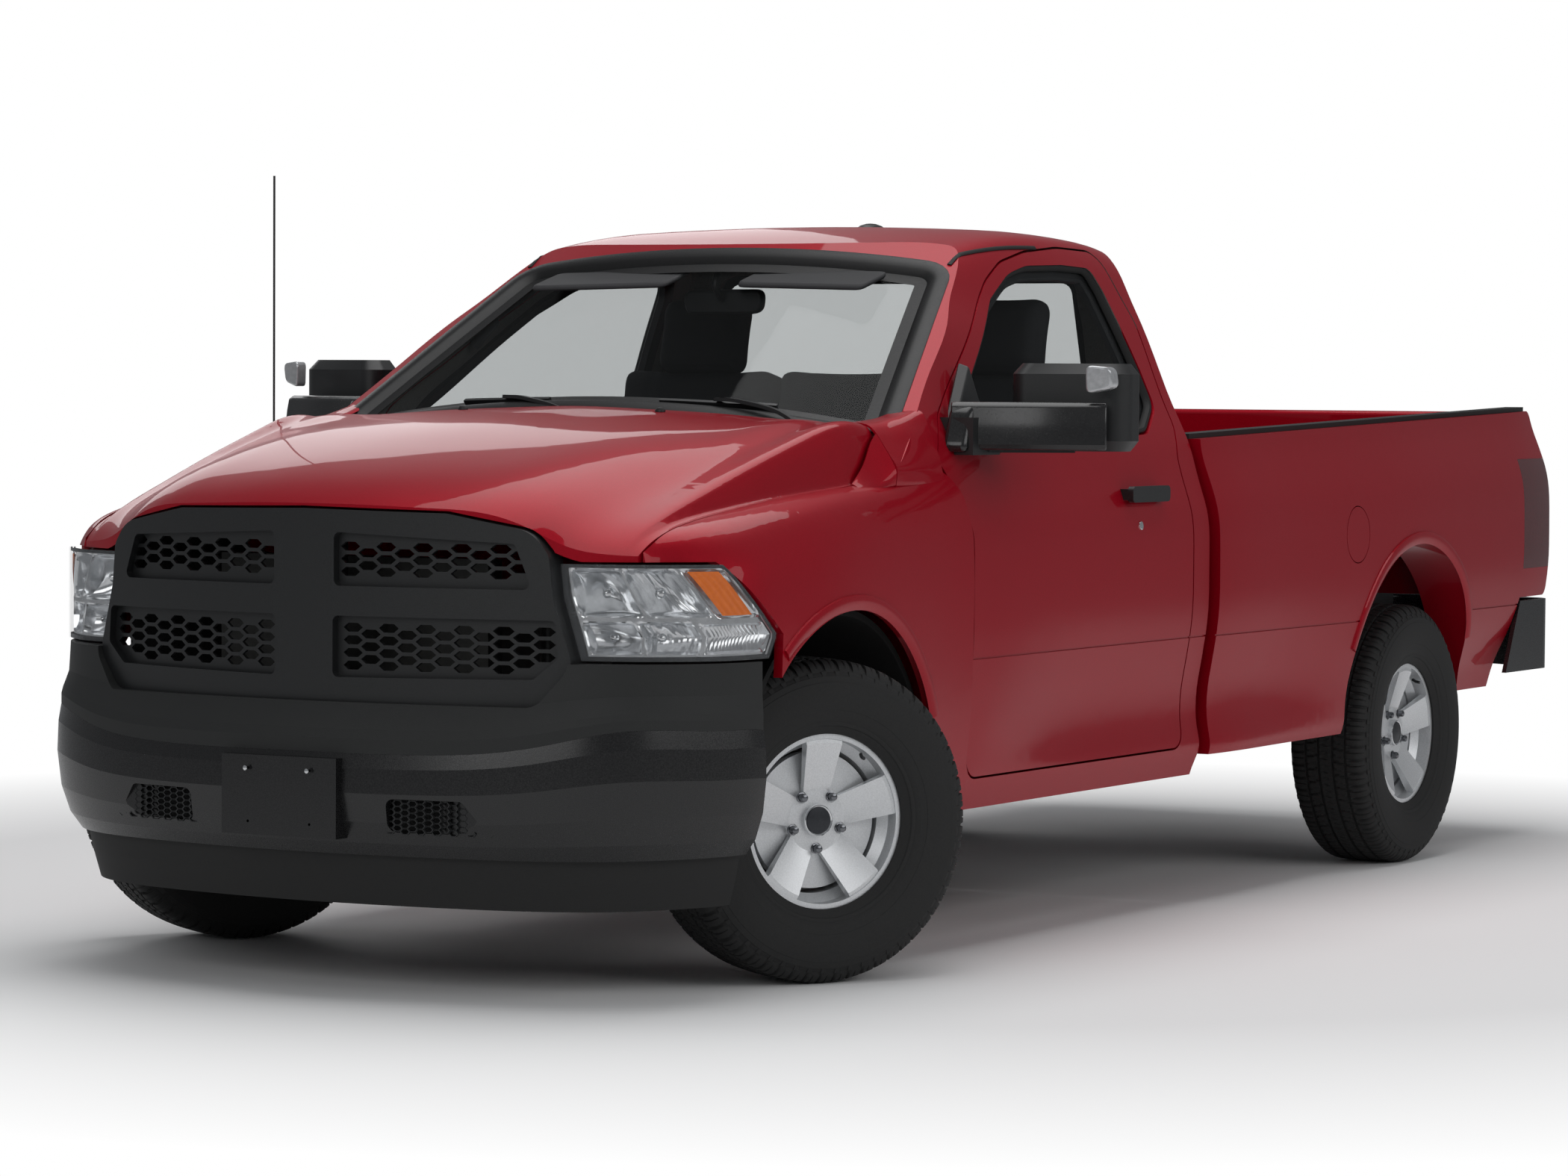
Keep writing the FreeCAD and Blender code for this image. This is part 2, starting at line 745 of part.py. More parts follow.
def build_cab():
    """Cab shell, doors and glass, all cut from one tunnel so that their faces run on."""
    outer = cab_tunnel(0.0, 0.0, 0.0)
    inner = cab_tunnel(door_thickness, pillar_thickness, roof_thickness)
    outside = side_prism(
        cab_outline(cab_front_y, cab_wall, cowl_front_y, rocker_height, cab_back_y),
        -body_half_width - overrun,
        body_half_width + overrun,
    )
    body = outer.common(outside)
    ahead = windshield_slab(0.0, -windshield_bow_radius)
    body = body.cut(ahead)
    cowl_cut = front_prism(
        [
            (-body_half_width, cowl_height), (body_half_width, cowl_height),
            (body_half_width, cowl_height + overrun), (-body_half_width, cowl_height + overrun),
        ],
        cowl_front_y - overrun,
        cowl_front_y + panel_gap,
    )
    crease = block(
        -body_half_width, body_half_width, scoop_front_y, cab_back_y, crease_height,
        crease_height + crease_width,
    )
    body = body.cut([cowl_cut, crease.cut(cab_tunnel(crease_depth, crease_depth, crease_depth))])
    inside_outline = [
        (footwell_y, floor_height), (cab_back_y - cab_wall, floor_height),
        (cab_back_y - cab_wall, roof_height), (cab_front_y + cab_wall, roof_height),
        (cab_front_y + cab_wall, fender_bottom * 2),
    ]
    inside = side_prism(inside_outline, -body_half_width, body_half_width)
    space = inner.common(inside).cut(windshield_slab(pillar_thickness, -windshield_bow_radius))
    space = space.cut(hump(0.0))
    under = block(
        -floor_half_width, floor_half_width, cab_front_y - overrun, cab_back_y + overrun, 0.0,
        floor_height - floor_thickness,
    )
    body = body.cut([under, hump(hump_wall)])
    door_blank = body.common(door_tool(0)).cut(inner)
    shell = body.cut(space)
    gap_tool = door_tool(panel_gap)
    shell = shell.cut(gap_tool)
    shell = shell.cut(mirrored(gap_tool))
    lugs = []
    for height in hinge_heights:
        reach = hinge_lug_height / 2
        lug = block(
            hinge_lug_inner_x, hinge_lug_inner_x + hinge_lug_width, door_nose_y, footwell_y + overrun / 2,
            height - reach, height + reach,
        )
        lugs.extend(both_sides(lug.common(gap_tool).cut(door_tool(seat_gap))))
    shell = shell.fuse(lugs).removeSplitter()
    shell = shell.cut(windshield_opening(0.0))
    skin = fender_loft(panel_gap * 2, fender_thickness + seat_gap)
    shell = shell.cut([skin, mirrored(skin)])
    rear_hole = front_prism(
        [
            (-rear_window_half_width, rear_window_sill, rear_window_corner_radius),
            (rear_window_half_width, rear_window_sill, rear_window_corner_radius),
            (rear_window_half_width - overrun, rear_window_head, rear_window_corner_radius),
            (-rear_window_half_width + overrun, rear_window_head, rear_window_corner_radius),
        ],
        cab_back_y - 2 * cab_wall,
        cab_back_y + cab_wall,
    )
    shell = shell.cut([rear_hole, cowl_block(seat_gap)])
    glass_slab = windshield_slab(glass_inset, glass_inset + glass_thickness)
    windshield = windshield_opening(-seat_gap).common(glass_slab)
    pane = rear_hole.common(
        block(
            -body_half_width, body_half_width,
            cab_back_y - cab_wall / 2 - glass_thickness, cab_back_y - cab_wall / 2,
            belt_height, roof_height,
        )
    )
    door = door_blank.cut(window_tool(0))
    side_glass = window_tool(seat_gap).common(door_blank)
    moved = side_glass.copy()
    moved.translate(V(-glass_inset, 0, 0))
    deeper = side_glass.copy()
    deeper.translate(V(-glass_inset - glass_thickness, 0, 0))
    side_glass = moved.cut(deeper).common(door_tool(0))
    return shell, door, windshield, pane, side_glass


def build_handle(door):
    """A pull handle on two posts, standing off the door skin."""
    surface = side_half_width(handle_centre_z) - cab_narrowing
    inner = surface + handle_stand_off / 2
    outer = surface + handle_stand_off
    half = handle_length / 2
    grip = side_prism(
        [
            (handle_centre_y - half, handle_centre_z - handle_height / 2, handle_height / 3),
            (handle_centre_y + half, handle_centre_z - handle_height / 2, handle_height / 3),
            (handle_centre_y + half, handle_centre_z + handle_height / 2, handle_height / 3),
            (handle_centre_y - half, handle_centre_z + handle_height / 2, handle_height / 3),
        ],
        inner,
        outer,
    )
    posts = []
    for end in (-half, half - handle_post):
        posts.append(
            block(
                surface - handle_stand_off, inner + seat_gap,
                handle_centre_y + end, handle_centre_y + end + handle_post,
                handle_centre_z - handle_height / 3, handle_centre_z + handle_height / 3,
            )
        )
    return grip.fuse(posts).removeSplitter().cut(door)


def build_mirror(doors):
    """A tow mirror: foot on the door, arm, and head swept to the rear."""
    foot_surface = side_half_width(belt_height) - cab_narrowing - door_thickness / 2
    foot = block(
        foot_surface, foot_surface + door_thickness,
        mirror_foot_y - mirror_foot_length / 2, mirror_foot_y + mirror_foot_length / 2,
        mirror_foot_z - mirror_foot_height / 2, mirror_foot_z + mirror_foot_height / 2,
    )
    head_middle_x = (mirror_head_inner_x + mirror_half_span) / 2
    arm = beam(
        V(foot_surface + door_thickness / 2, mirror_foot_y, mirror_foot_z),
        V(head_middle_x, mirror_head_y, mirror_foot_z),
        mirror_arm_depth,
        mirror_arm_height,
    )
    half = mirror_head_depth / 2
    lean = math.tan(math.radians(mirror_sweep_deg)) * (mirror_half_span - mirror_head_inner_x)
    round_corner = mirror_head_depth / 3
    layers = []
    for level, drawn_in in mirror_level_shares:
        shrink = drawn_in * round_corner
        outline = [
            (mirror_head_inner_x + shrink, mirror_head_y - half - lean / 2 + shrink, round_corner),
            (mirror_half_span - shrink, mirror_head_y - half + lean + shrink, round_corner * mirror_corner_share),
            (mirror_half_span - shrink, mirror_head_y + half + lean / 2 - shrink / 4, round_corner / 3),
            (mirror_head_inner_x + shrink, mirror_head_y + half - lean / 2 - shrink / 4, round_corner / 3),
        ]
        height = mirror_head_bottom + level * mirror_head_height
        layers.append(rounded_wire([(V(x, y, height), radius) for x, y, radius in outline]))
    head = Part.makeLoft(layers, True, True)
    mirror = foot.fuse([arm, head]).removeSplitter()
    for piece in doors:
        outside = piece.copy()
        outside.translate(ACROSS * seat_gap)
        mirror = mirror.cut([piece, outside])
    return max(mirror.Solids, key=lambda solid: solid.Volume)


def hood_edge_at(y):
    """The hood's side edge at a place along the truck, carried on behind the hood."""
    length = hood_rear_y - hood_rear_bow - hood_front_corner_y
    along = max((y - hood_front_corner_y) / length, 0.0)
    spread = hood_half_width_rear - hood_half_width_front
    beyond = max(along - 1.0, 0.0) * length
    height = hood_height(min(along, 1.0), 1.0) + fender_rear_rise_share * beyond
    return hood_half_width_front + spread * along ** 0.8, height


def fender_section(y, narrow, out):
    """One cross-section line of the fender, from its foot to its edge beside the hood."""
    edge_x, edge_z = hood_edge_at(y)
    top = V(edge_x + panel_gap, y, edge_z)
    line = []
    for share in fender_foot_shares:
        height = fender_bottom * share
        line.append(V(side_half_width(height) * narrow + out, y, height))
    height = top.z * fender_shoulder_share
    shoulder = V(side_half_width(height) * narrow, y, height)
    line.append(shoulder + V(out, 0, out * fender_shoulder_lift_share))
    wide = shoulder.x - top.x
    rise = top.z - shoulder.z
    for wide_share, side_share, up_share, fall_share in fender_crown_shares:
        line.append(top + V(wide * wide_share + out * side_share, 0, out * up_share - rise * fall_share))
    line.append(top + V(0, 0, out))
    return line


def fender_loft(out, depth):
    """The fender's skin: from so far outside its face to so far inside it."""
    shares = [share for share, _ in fender_stations]
    widths = [width for _, width in fender_stations]
    wires = []
    for index in range(fender_section_count):
        along = index / (fender_section_count - 1)
        share = shares[0] + (shares[-1] - shares[0]) * along
        narrow = curve_at(shares, widths, share)
        y = share * wheelbase
        faces = []
        for reach in (out, -depth):
            line = Part.BSplineCurve()
            line.interpolate(fender_section(y, narrow, reach))
            faces.append(line)
        near, far = faces
        wires.append(
            Part.Wire(
                [
                    near.toShape(), Part.makeLine(near.EndPoint, far.EndPoint), far.toShape(),
                    Part.makeLine(far.StartPoint, near.StartPoint),
                ]
            )
        )
    return Part.makeLoft(wires, True, False)


def arch_tool(axle, radius, height, x_from, x_to):
    """A wheel arch in side view: round above, straight below."""
    centre_z = height - radius
    arc = Part.Arc(
        V(x_from, axle - radius, centre_z), V(x_from, axle, height), V(x_from, axle + radius, centre_z)
    ).toShape()
    low = centre_z - arch_drop * 2
    left = V(x_from, axle - radius, low)
    right = V(x_from, axle + radius, low)
    edges = [
        arc, Part.makeLine(V(x_from, axle + radius, centre_z), right), Part.makeLine(right, left),
        Part.makeLine(left, V(x_from, axle - radius, centre_z)),
    ]
    return Part.Face(Part.Wire(edges)).extrude(V(x_to - x_from, 0, 0))


def build_fender():
    """One front fender, cut for the wheel, the headlamp and the door."""
    sheet = fender_loft(0.0, fender_thickness)
    wide = body_half_width + overrun
    sheet = sheet.cut(arch_tool(0, front_arch_radius, front_arch_height, wide / 2, wide))
    lamp_hole = side_prism(
        [
            (lamp_inner_y * 2, lamp_top + panel_gap), (lamp_outer_y, lamp_top + panel_gap),
            (lamp_tail_y + panel_gap, lamp_tail_height), (lamp_tail_y + panel_gap, fender_bottom - overrun),
            (lamp_inner_y * 2, fender_bottom - overrun),
        ],
        wide / 2,
        wide,
    )
    sheet = sheet.cut(lamp_hole)
    sheet = sheet.cut(door_tool(panel_gap))
    return max(sheet.Solids, key=lambda solid: solid.Volume)


def hood_height(along, across):
    """The hood's height from its share of the length and of the half width."""
    crown = curve_at(hood_along_shares, hood_crown_shares, along)
    edge = curve_at(hood_along_shares, hood_edge_shares, along)
    crown_z = hood_nose_height + crown * (hood_crown_height - hood_nose_height)
    edge_z = hood_edge_height_front + edge * (hood_edge_height_rear - hood_edge_height_front)
    front = curve_at(hood_across_shares, hood_rise_front_shares, across)
    rear = curve_at(hood_across_shares, hood_rise_rear_shares, across)
    blend = min(1.0, along * hood_blend_share)
    rise = front * (1 - blend) + rear * blend
    return edge_z + rise * (crown_z - edge_z)


def hood_plan(along, across):
    """The hood's plan position from the same two shares."""
    nose = hood_nose_y + (hood_front_corner_y - hood_nose_y) * across ** hood_nose_power_share
    rear = hood_rear_y - hood_rear_bow * (1 - across ** 2)
    y = nose + (rear - nose) * along
    widening = hood_half_width_rear - hood_half_width_front
    half = hood_half_width_front + widening * along ** hood_side_power_share
    return half * across, y


def build_hood():
    """The hood: a raised middle between two valleys, one curved sheet."""
    shares = [-share for share in reversed(hood_across_shares[1:])] + hood_across_shares
    grid = []
    for along in hood_along_shares:
        row = []
        for across in shares:
            x, y = hood_plan(along, abs(across))
            row.append(V(math.copysign(x, across), y, hood_height(along, abs(across))))
        grid.append(row)
    surface = Part.BSplineSurface()
    surface.interpolate(grid)
    sheet = surface.toShape().extrude(V(0, 0, -hood_thickness))
    lamp_room = block(
        -body_half_width, body_half_width, -front_overhang, lamp_outer_y, 0.0, lamp_top + panel_gap,
    )
    return sheet.cut([grille_tool(panel_gap), lamp_room])


def swept_slab(crown_y, radius, depth, half_width, bottom, top):
    """A slab bowed in plan, its front face on an arc through crown_y."""
    bow = half_width * half_width / (2 * radius)
    corners = [
        V(half_width, crown_y + bow, bottom), V(0, crown_y, bottom), V(-half_width, crown_y + bow, bottom),
    ]
    inner = [corner + V(0, depth, 0) for corner in corners]
    edges = [
        Part.Arc(*corners).toShape(),
        Part.makeLine(corners[2], inner[2]),
        Part.Arc(inner[2], inner[1], inner[0]).toShape(),
        Part.makeLine(inner[0], corners[0]),
    ]
    return Part.Face(Part.Wire(edges)).extrude(V(0, 0, top - bottom))


def grille_opening(shares):
    height = grille_top - grille_bottom
    outline = [
        (across * grille_half_width, grille_bottom + up * height, grille_depth / 4) for across, up in shares
    ]
    return front_prism(outline, -front_overhang - overrun, lamp_outer_y)


def grille_tool(grow):
    """The grille's outline in front view, grown by a gap, pushed through the nose."""
    height = grille_top - grille_bottom
    wide = (grille_half_width + grow) / grille_half_width
    tall = (height / 2 + grow) / (height / 2)
    middle = grille_bottom + height / 2
    right = []
    for x, z, r in grille_outline_shares:
        level = grille_bottom + z * height
        right.append((x * grille_half_width * wide, middle + (level - middle) * tall, r * height))
    left = [(-x, z, r) for x, z, r in reversed(right[1:])]
    return front_prism(right + left, -front_overhang - overrun, lamp_outer_y)


def build_grille():
    """Grille surround with a cross of bars; the mesh panels seat behind its openings."""
    outline = grille_tool(0.0)
    reach = grille_half_width + overrun * 2
    slab = swept_slab(
        grille_crown_y, grille_sweep_radius, grille_depth, reach, grille_bottom - overrun,
        grille_top + overrun,
    )
    frame = slab.common(outline)
    mesh_slab = swept_slab(
        grille_crown_y + mesh_recess, grille_sweep_radius - mesh_recess, mesh_thickness, reach,
        grille_bottom - overrun, grille_top + overrun,
    )
    meshes = []
    for shares in (grille_upper_shares, grille_lower_shares):
        for opening in both_sides(grille_opening(shares)):
            frame = frame.cut(opening)
            meshes.append(opening.common(mesh_slab).cut(mesh_holes(opening.BoundBox)))
    return frame.fuse(meshes)


def mesh_holes(room):
    """Flat-topped six-sided holes in staggered columns, each pushed through the nose."""
    column_step = mesh_cell_width * mesh_column_share
    row_step = mesh_cell_height
    columns = int((room.XMax - room.XMin - 2 * mesh_margin) / column_step)
    rows = int((room.ZMax - room.ZMin - 2 * mesh_margin) / row_step)
    first_x = (room.XMax + room.XMin) / 2 - (columns - 1) * column_step / 2
    first_z = (room.ZMax + room.ZMin) / 2 - (rows - 1) * row_step / 2
    half = mesh_cell_width / 2 - mesh_strand / 2
    tall = mesh_cell_height / 2 - mesh_strand / 2
    holes = []
    for column in range(columns):
        odd = column % 2
        for row in range(rows - odd):
            x = first_x + column * column_step
            z = first_z + (row + odd / 2) * row_step
            if z - row_step < room.ZMin and abs(x) > grille_half_width * mesh_corner_share:
                continue
            corners = [
                (x - half, z), (x - half / 2, z - tall), (x + half / 2, z - tall), (x + half, z),
                (x + half / 2, z + tall), (x - half / 2, z + tall),
            ]
            holes.append(front_prism(corners, -front_overhang - overrun, lamp_outer_y))
    return Part.makeCompound(holes)


def build_headlamp():
    """One wrap-round headlamp body behind its clear lens."""
    wide = lamp_end_x - lamp_inner_x
    deep = lamp_tail_y - lamp_inner_y
    line = Part.BSplineCurve()
    line.interpolate([
        V(lamp_inner_x + across * wide, lamp_inner_y + along * deep, lamp_bottom)
        for across, along in lamp_front_shares
    ])
    back = [
        line.EndPoint, V(lamp_end_x - lamp_depth / 2, lamp_tail_y, lamp_bottom),
        V(lamp_end_x - lamp_depth, lamp_outer_y + lamp_depth / 2, lamp_bottom),
        V(lamp_inner_x, lamp_inner_y + lamp_depth, lamp_bottom), line.StartPoint,
    ]
    edges = [line.toShape()] + [Part.makeLine(start, end) for start, end in zip(back, back[1:])]
    body = Part.Face(Part.Wire(edges)).extrude(V(0, 0, lamp_top - lamp_bottom))
    tail = side_prism(
        [
            (lamp_inner_y * 2, lamp_bottom), (lamp_tail_y * lamp_foot_share, lamp_bottom),
            (lamp_tail_y, lamp_tail_height), (lamp_outer_y, lamp_top), (lamp_inner_y * 2, lamp_top),
        ],
        0,
        body_half_width,
    )
    return body.common(tail).cut(grille_tool(seat_gap))


def nose_band(section_shares, wall, top, bottom, split_top, split_bottom):
    """A band round the nose: one section, its setback in shares of the cover's lean, carried along it.

    The split line's rise lifts the section's top or its bottom, or neither.
    """
    deep = bumper_end_y - bumper_apex_y
    right = [
        V(across * bumper_half_width, bumper_apex_y + along * deep, 0)
        for across, along, _, _ in nose_shares
    ]
    rises = [share[2] * cover_split_rise for share in nose_shares]
    leans = [share[3] for share in nose_shares]
    places = [V(-place.x, place.y, 0) for place in reversed(right[1:])] + right
    rises = list(reversed(rises[1:])) + rises
    leans = list(reversed(leans[1:])) + leans
    line = Part.BSplineCurve()
    line.interpolate(places)
    wires = []
    for place, rise, lean in zip(places, rises, leans):
        way = line.tangent(line.parameter(place))[0]
        out = V(way.y, -way.x, 0)
        high = top + rise * split_top
        low = bottom + rise * split_bottom
        outer = []
        for setback, level in section_shares:
            reach = setback * cover_lean * (lean if split_bottom else 1.0)
            outer.append((-reach, low + level * (high - low)))
        chain = outer + [(reach - wall, level) for reach, level in reversed(outer)]
        points = [place + out * reach + V(0, 0, level) for reach, level in chain]
        wires.append(Part.makePolygon(points + points[:1]))
    return Part.makeLoft(wires, True, False)


def plate_bracket():
    """A flat bracket for the number plate, with its four holes."""
    front = -front_overhang
    body = block(
        -plate_width / 2, plate_width / 2, front, bumper_apex_y + bumper_wall / 2,
        plate_bottom, plate_bottom + plate_height,
    )
    holes = []
    for x in (-plate_hole_spacing_x / 2, plate_hole_spacing_x / 2):
        for z in (-plate_hole_spacing_z / 2, plate_hole_spacing_z / 2):
            centre = V(x, front - overrun, plate_bottom + plate_height / 2 + z)
            holes.append(Part.makeCylinder(plate_hole_radius, bumper_wall * 3, centre, BACK))
    return body, holes


def build_front_end():
    """Painted bumper, textured cover above it and air dam below it."""
    bumper = nose_band(bumper_section_shares, bumper_wall, cover_split_height, bumper_bottom, 1.0, 0.0)
    slot = front_prism(
        [
            (fog_slot_inner_x, fog_slot_bottom, overrun / 3),
            (fog_slot_outer_x, fog_slot_bottom, overrun / 3),
            (fog_slot_outer_x - overrun, fog_slot_top, overrun / 3),
            (fog_slot_inner_x, fog_slot_top, overrun / 3),
        ],
        -front_overhang - overrun,
        bumper_apex_y + bumper_wall,
    )
    for tool in both_sides(slot):
        bumper = bumper.cut(tool)
    bracket = block(
        rail_centre_x - rail_width / 2, rail_centre_x + rail_width / 2, bumper_bracket_y,
        rail_front_y - seat_gap, rail_front_height, rail_front_height + rail_height,
    )
    bracket_plate, holes = plate_bracket()
    bumper = bumper.fuse([bracket_plate] + both_sides(bracket)).removeSplitter().cut(holes)
    cover = nose_band(
        cover_section_shares, bumper_wall, cover_top, cover_split_height + seat_gap, 0.0, 1.0,
    )
    cover = cover.cut(grille_tool(seat_gap))
    dam = nose_band(dam_section_shares, dam_wall, bumper_bottom - seat_gap, dam_bottom, 0.0, 0.0)
    return bumper, cover, dam


def rail_stations():
    """The rail's lower face as places along the truck and heights."""
    return [
        (rail_front_y, rail_front_height), (cab_front_y - rail_height * rail_bend_share, rail_front_height),
        (cab_front_y - rail_width / 4, rail_low_height), (link_front_y - rail_height, rail_low_height),
        (rail_kick_y, rail_rear_height), (rail_rear_y, rail_rear_height),
    ]


def rail_height_at(y):
    """The height of the rail's lower face at a place along the truck."""
    stations = rail_stations()
    for (y_from, z_from), (y_to, z_to) in zip(stations, stations[1:]):
        if y <= y_to:
            return z_from + (z_to - z_from) * (y - y_from) / (y_to - y_from)
    return rail_rear_height


def member(y, low):
    """One crossmember between the rails."""
    return block(
        -rail_centre_x, rail_centre_x, y - member_length / 2, y + member_length / 2, low,
        low + member_height,
    )


def build_frame():
    """Ladder frame: two rails that kick up over the rear axle, and the members between them."""
    low = rail_stations()
    top = [(y, z + rail_height) for y, z in reversed(low)]
    rail = side_prism(low + top, rail_centre_x - rail_width / 2, rail_centre_x + rail_width / 2)
    members = [member(0.0, axle_member_top - member_height), member(spare_centre_y, rail_rear_height)]
    half = member_length / 2
    hanger_low = axle_member_top - member_height
    for share in member_shares:
        y = share * wheelbase
        members.append(member(y, rail_height_at(y) - member_drop + seat_gap))
    for share in level_member_shares:
        y = share * wheelbase
        members.append(member(y, rail_height_at(y) + (rail_height - member_height) / 2))
    for side in (-1, 1):
        x_from = side * (rail_centre_x - rail_width / 2)
        x_to = side * (rail_centre_x + rail_width / 2)
        low_x = min(x_from, x_to)
        high_x = max(x_from, x_to)
        members.append(block(low_x, high_x, -half, half, hanger_low, rail_front_height + seat_gap))
        for share in member_shares:
            y = share * wheelbase
            low_z = rail_height_at(y) - member_drop + seat_gap
            members.append(block(low_x, high_x, y - half, y + half, low_z, rail_height_at(y) + seat_gap))
    return rail.fuse([mirrored(rail)] + members).removeSplitter()


def kingpin_x():
    return front_half_track - kingpin_offset


def build_front_suspension():
    """Lower and upper arms from the rails to the ball joints, with the spring between."""
    inner = rail_centre_x + rail_width / 2 + seat_gap
    tip = arm_tip_half_width
    neck = kingpin_x() - arm_neck_length
    spring = V(front_spring_x, 0, arm_height)
    arms = []
    upper_base = arm_base_half_length * upper_arm_share
    for level, base in ((arm_height, arm_base_half_length), (upper_arm_height, upper_base)):
        arm = plan_prism(
            [
                (inner, -base), (inner + tip, -base), (neck, -tip, tip), (kingpin_x(), -tip, tip / 2),
                (kingpin_x() + tip / 2, 0, tip / 2), (kingpin_x(), tip, tip / 2), (neck, tip, tip),
                (inner + tip, base), (inner, base),
            ],
            level - arm_thickness / 2,
            level + arm_thickness / 2,
        )
        if level == upper_arm_height:
            room = front_spring_radius + panel_gap
            arm = arm.cut(Part.makeCylinder(room, level, V(front_spring_x, 0, level / 2)))
        arms.append(arm)
    hanger = block(
        inner, inner + arm_thickness, -upper_base, upper_base,
        arm_height - arm_thickness / 2, front_spring_top,
    )
    tower = block(
        inner, front_spring_x + front_spring_radius, -front_spring_radius - panel_gap,
        front_spring_radius + panel_gap, front_spring_top - arm_thickness, front_spring_top,
    )
    coil = Part.makeCylinder(front_spring_radius, front_spring_top - arm_height, spring)
    side = hanger.fuse(arms + [tower, coil]).removeSplitter()
    return both_sides(side)


def turned(shape, side):
    """A front wheel piece turned about its kingpin to the stored steering angle."""
    moved = shape.copy()
    moved.rotate(V(side * kingpin_x(), 0, 0), UP, -front_steer_deg)
    return moved


def build_knuckle():
    """Upright between the ball joints, with the stub that carries the hub."""
    x = kingpin_x()
    low = arm_height + arm_thickness / 2 + seat_gap
    high = upper_arm_height - arm_thickness / 2 - seat_gap
    post = Part.makeCylinder(knuckle_radius, high - low, V(x, 0, low))
    carrier = Part.makeCylinder(hub_radius, knuckle_radius, V(x - knuckle_radius, 0, loaded_radius), ACROSS)
    stub_end = front_half_track + hub_face_reach - disc_thickness - seat_gap
    stub = Part.makeCylinder(hub_radius * stub_share, stub_end - x, V(x, 0, loaded_radius), ACROSS)
    return post.fuse([carrier, stub]).removeSplitter()


def build_rim():
    """One alloy wheel about x, its centreline at x = 0 and its face to +x."""
    lip = rim_lip_reach
    seat = bead_half_width
    outside = [
        (rim_lip_radius, -lip), (rim_lip_radius, -seat), (bead_radius, -seat),
        (bead_radius, -seat * rim_shoulder_share), (rim_well_radius, -seat * rim_well_share),
        (rim_well_radius, seat * rim_well_share), (bead_radius, seat * rim_shoulder_share),
        (bead_radius, seat), (rim_lip_radius, seat), (rim_lip_radius, lip),
    ]
    inside = [(radius - rim_wall, x) for radius, x in reversed(outside)]
    points = [V(x, 0, r) for r, x in outside + inside]
    barrel = Part.Face(Part.makePolygon(points + points[:1])).revolve(V(0, 0, 0), ACROSS, 360)
    cap = Part.makeCylinder(hub_cap_radius, hub_cap_reach - hub_face_reach, V(hub_face_reach, 0, 0), ACROSS)
    face = [
        (hub_face_reach, 0.0), (hub_cap_reach - rim_wall, 0.0), (hub_cap_reach - rim_wall, hub_radius),
        (rim_lip_reach - rim_wall * spoke_crown_share, rim_well_radius),
        (rim_lip_reach - rim_wall, bead_radius - rim_wall / 2),
        (hub_face_reach + spoke_depth, bead_radius - rim_wall / 2),
        (hub_face_reach + spoke_depth / 3, hub_radius * spoke_root_share),
        (hub_face_reach, hub_radius),
    ]
    points = [V(x, 0, r) for x, r in face]
    dish = Part.Face(Part.makePolygon(points + points[:1])).revolve(V(0, 0, 0), ACROSS, 360)
    arms = [Part.makeCylinder(hub_radius, rim_lip_reach, V(0, 0, 0), ACROSS)]
    for index in range(spoke_count):
        arm = prism(
            [
                V(0, -spoke_width_hub / 2, 0), V(0, spoke_width_hub / 2, 0),
                V(0, spoke_width_rim / 2, bead_radius), V(0, -spoke_width_rim / 2, bead_radius),
            ],
            ACROSS * rim_lip_reach,
        )
        arm.rotate(V(0, 0, 0), ACROSS, 360.0 * index / spoke_count)
        arms.append(arm)
    spokes = dish.common(arms[0].fuse(arms[1:]))
    nut_holes = []
    for index in range(spoke_count):
        angle = 2 * math.pi * (index + 0.5) / spoke_count
        around = V(0, math.sin(angle), math.cos(angle))
        centre = V(hub_face_reach + rim_wall, 0, 0) + around * lug_circle_radius
        nut_holes.append(Part.makeCylinder(lug_pocket_radius, rim_lip_reach, centre, ACROSS))
    spokes = spokes.cut(nut_holes)
    disc = Part.makeCylinder(disc_radius, disc_thickness, V(hub_face_reach - disc_thickness, 0, 0), ACROSS)
    return barrel.fuse([cap, disc, spokes]).removeSplitter()


def build_tyre():
    """One tyre about x, its centreline at x = 0."""
    half = tyre_width / 2
    foot = bead_half_width - seat_gap
    inner = bead_radius + seat_gap
    height = tyre_radius - inner
    side = [
        (inner, foot), (rim_lip_radius, foot), (rim_lip_radius + rim_wall, rim_lip_reach + rim_wall / 2),
    ]
    side += [(inner + height * up, half * out) for up, out in tyre_wall_shares]
    side += [
        (tyre_radius - rim_wall / 4, half * tyre_shoulder_share), (tyre_radius, half * tyre_tread_share),
    ]
    profile = side + [(radius, -x) for radius, x in reversed(side)]
    points = [V(x, 0, r) for r, x in profile]
    return Part.Face(Part.makePolygon(points + points[:1])).revolve(V(0, 0, 0), ACROSS, 360)


def at_wheel(shape, side, half_track, y):
    """A wheel piece carried from its own centre to its axle."""
    moved = shape if side > 0 else mirrored(shape)
    moved = moved.copy()
    moved.translate(V(side * half_track, y, loaded_radius))
    return moved


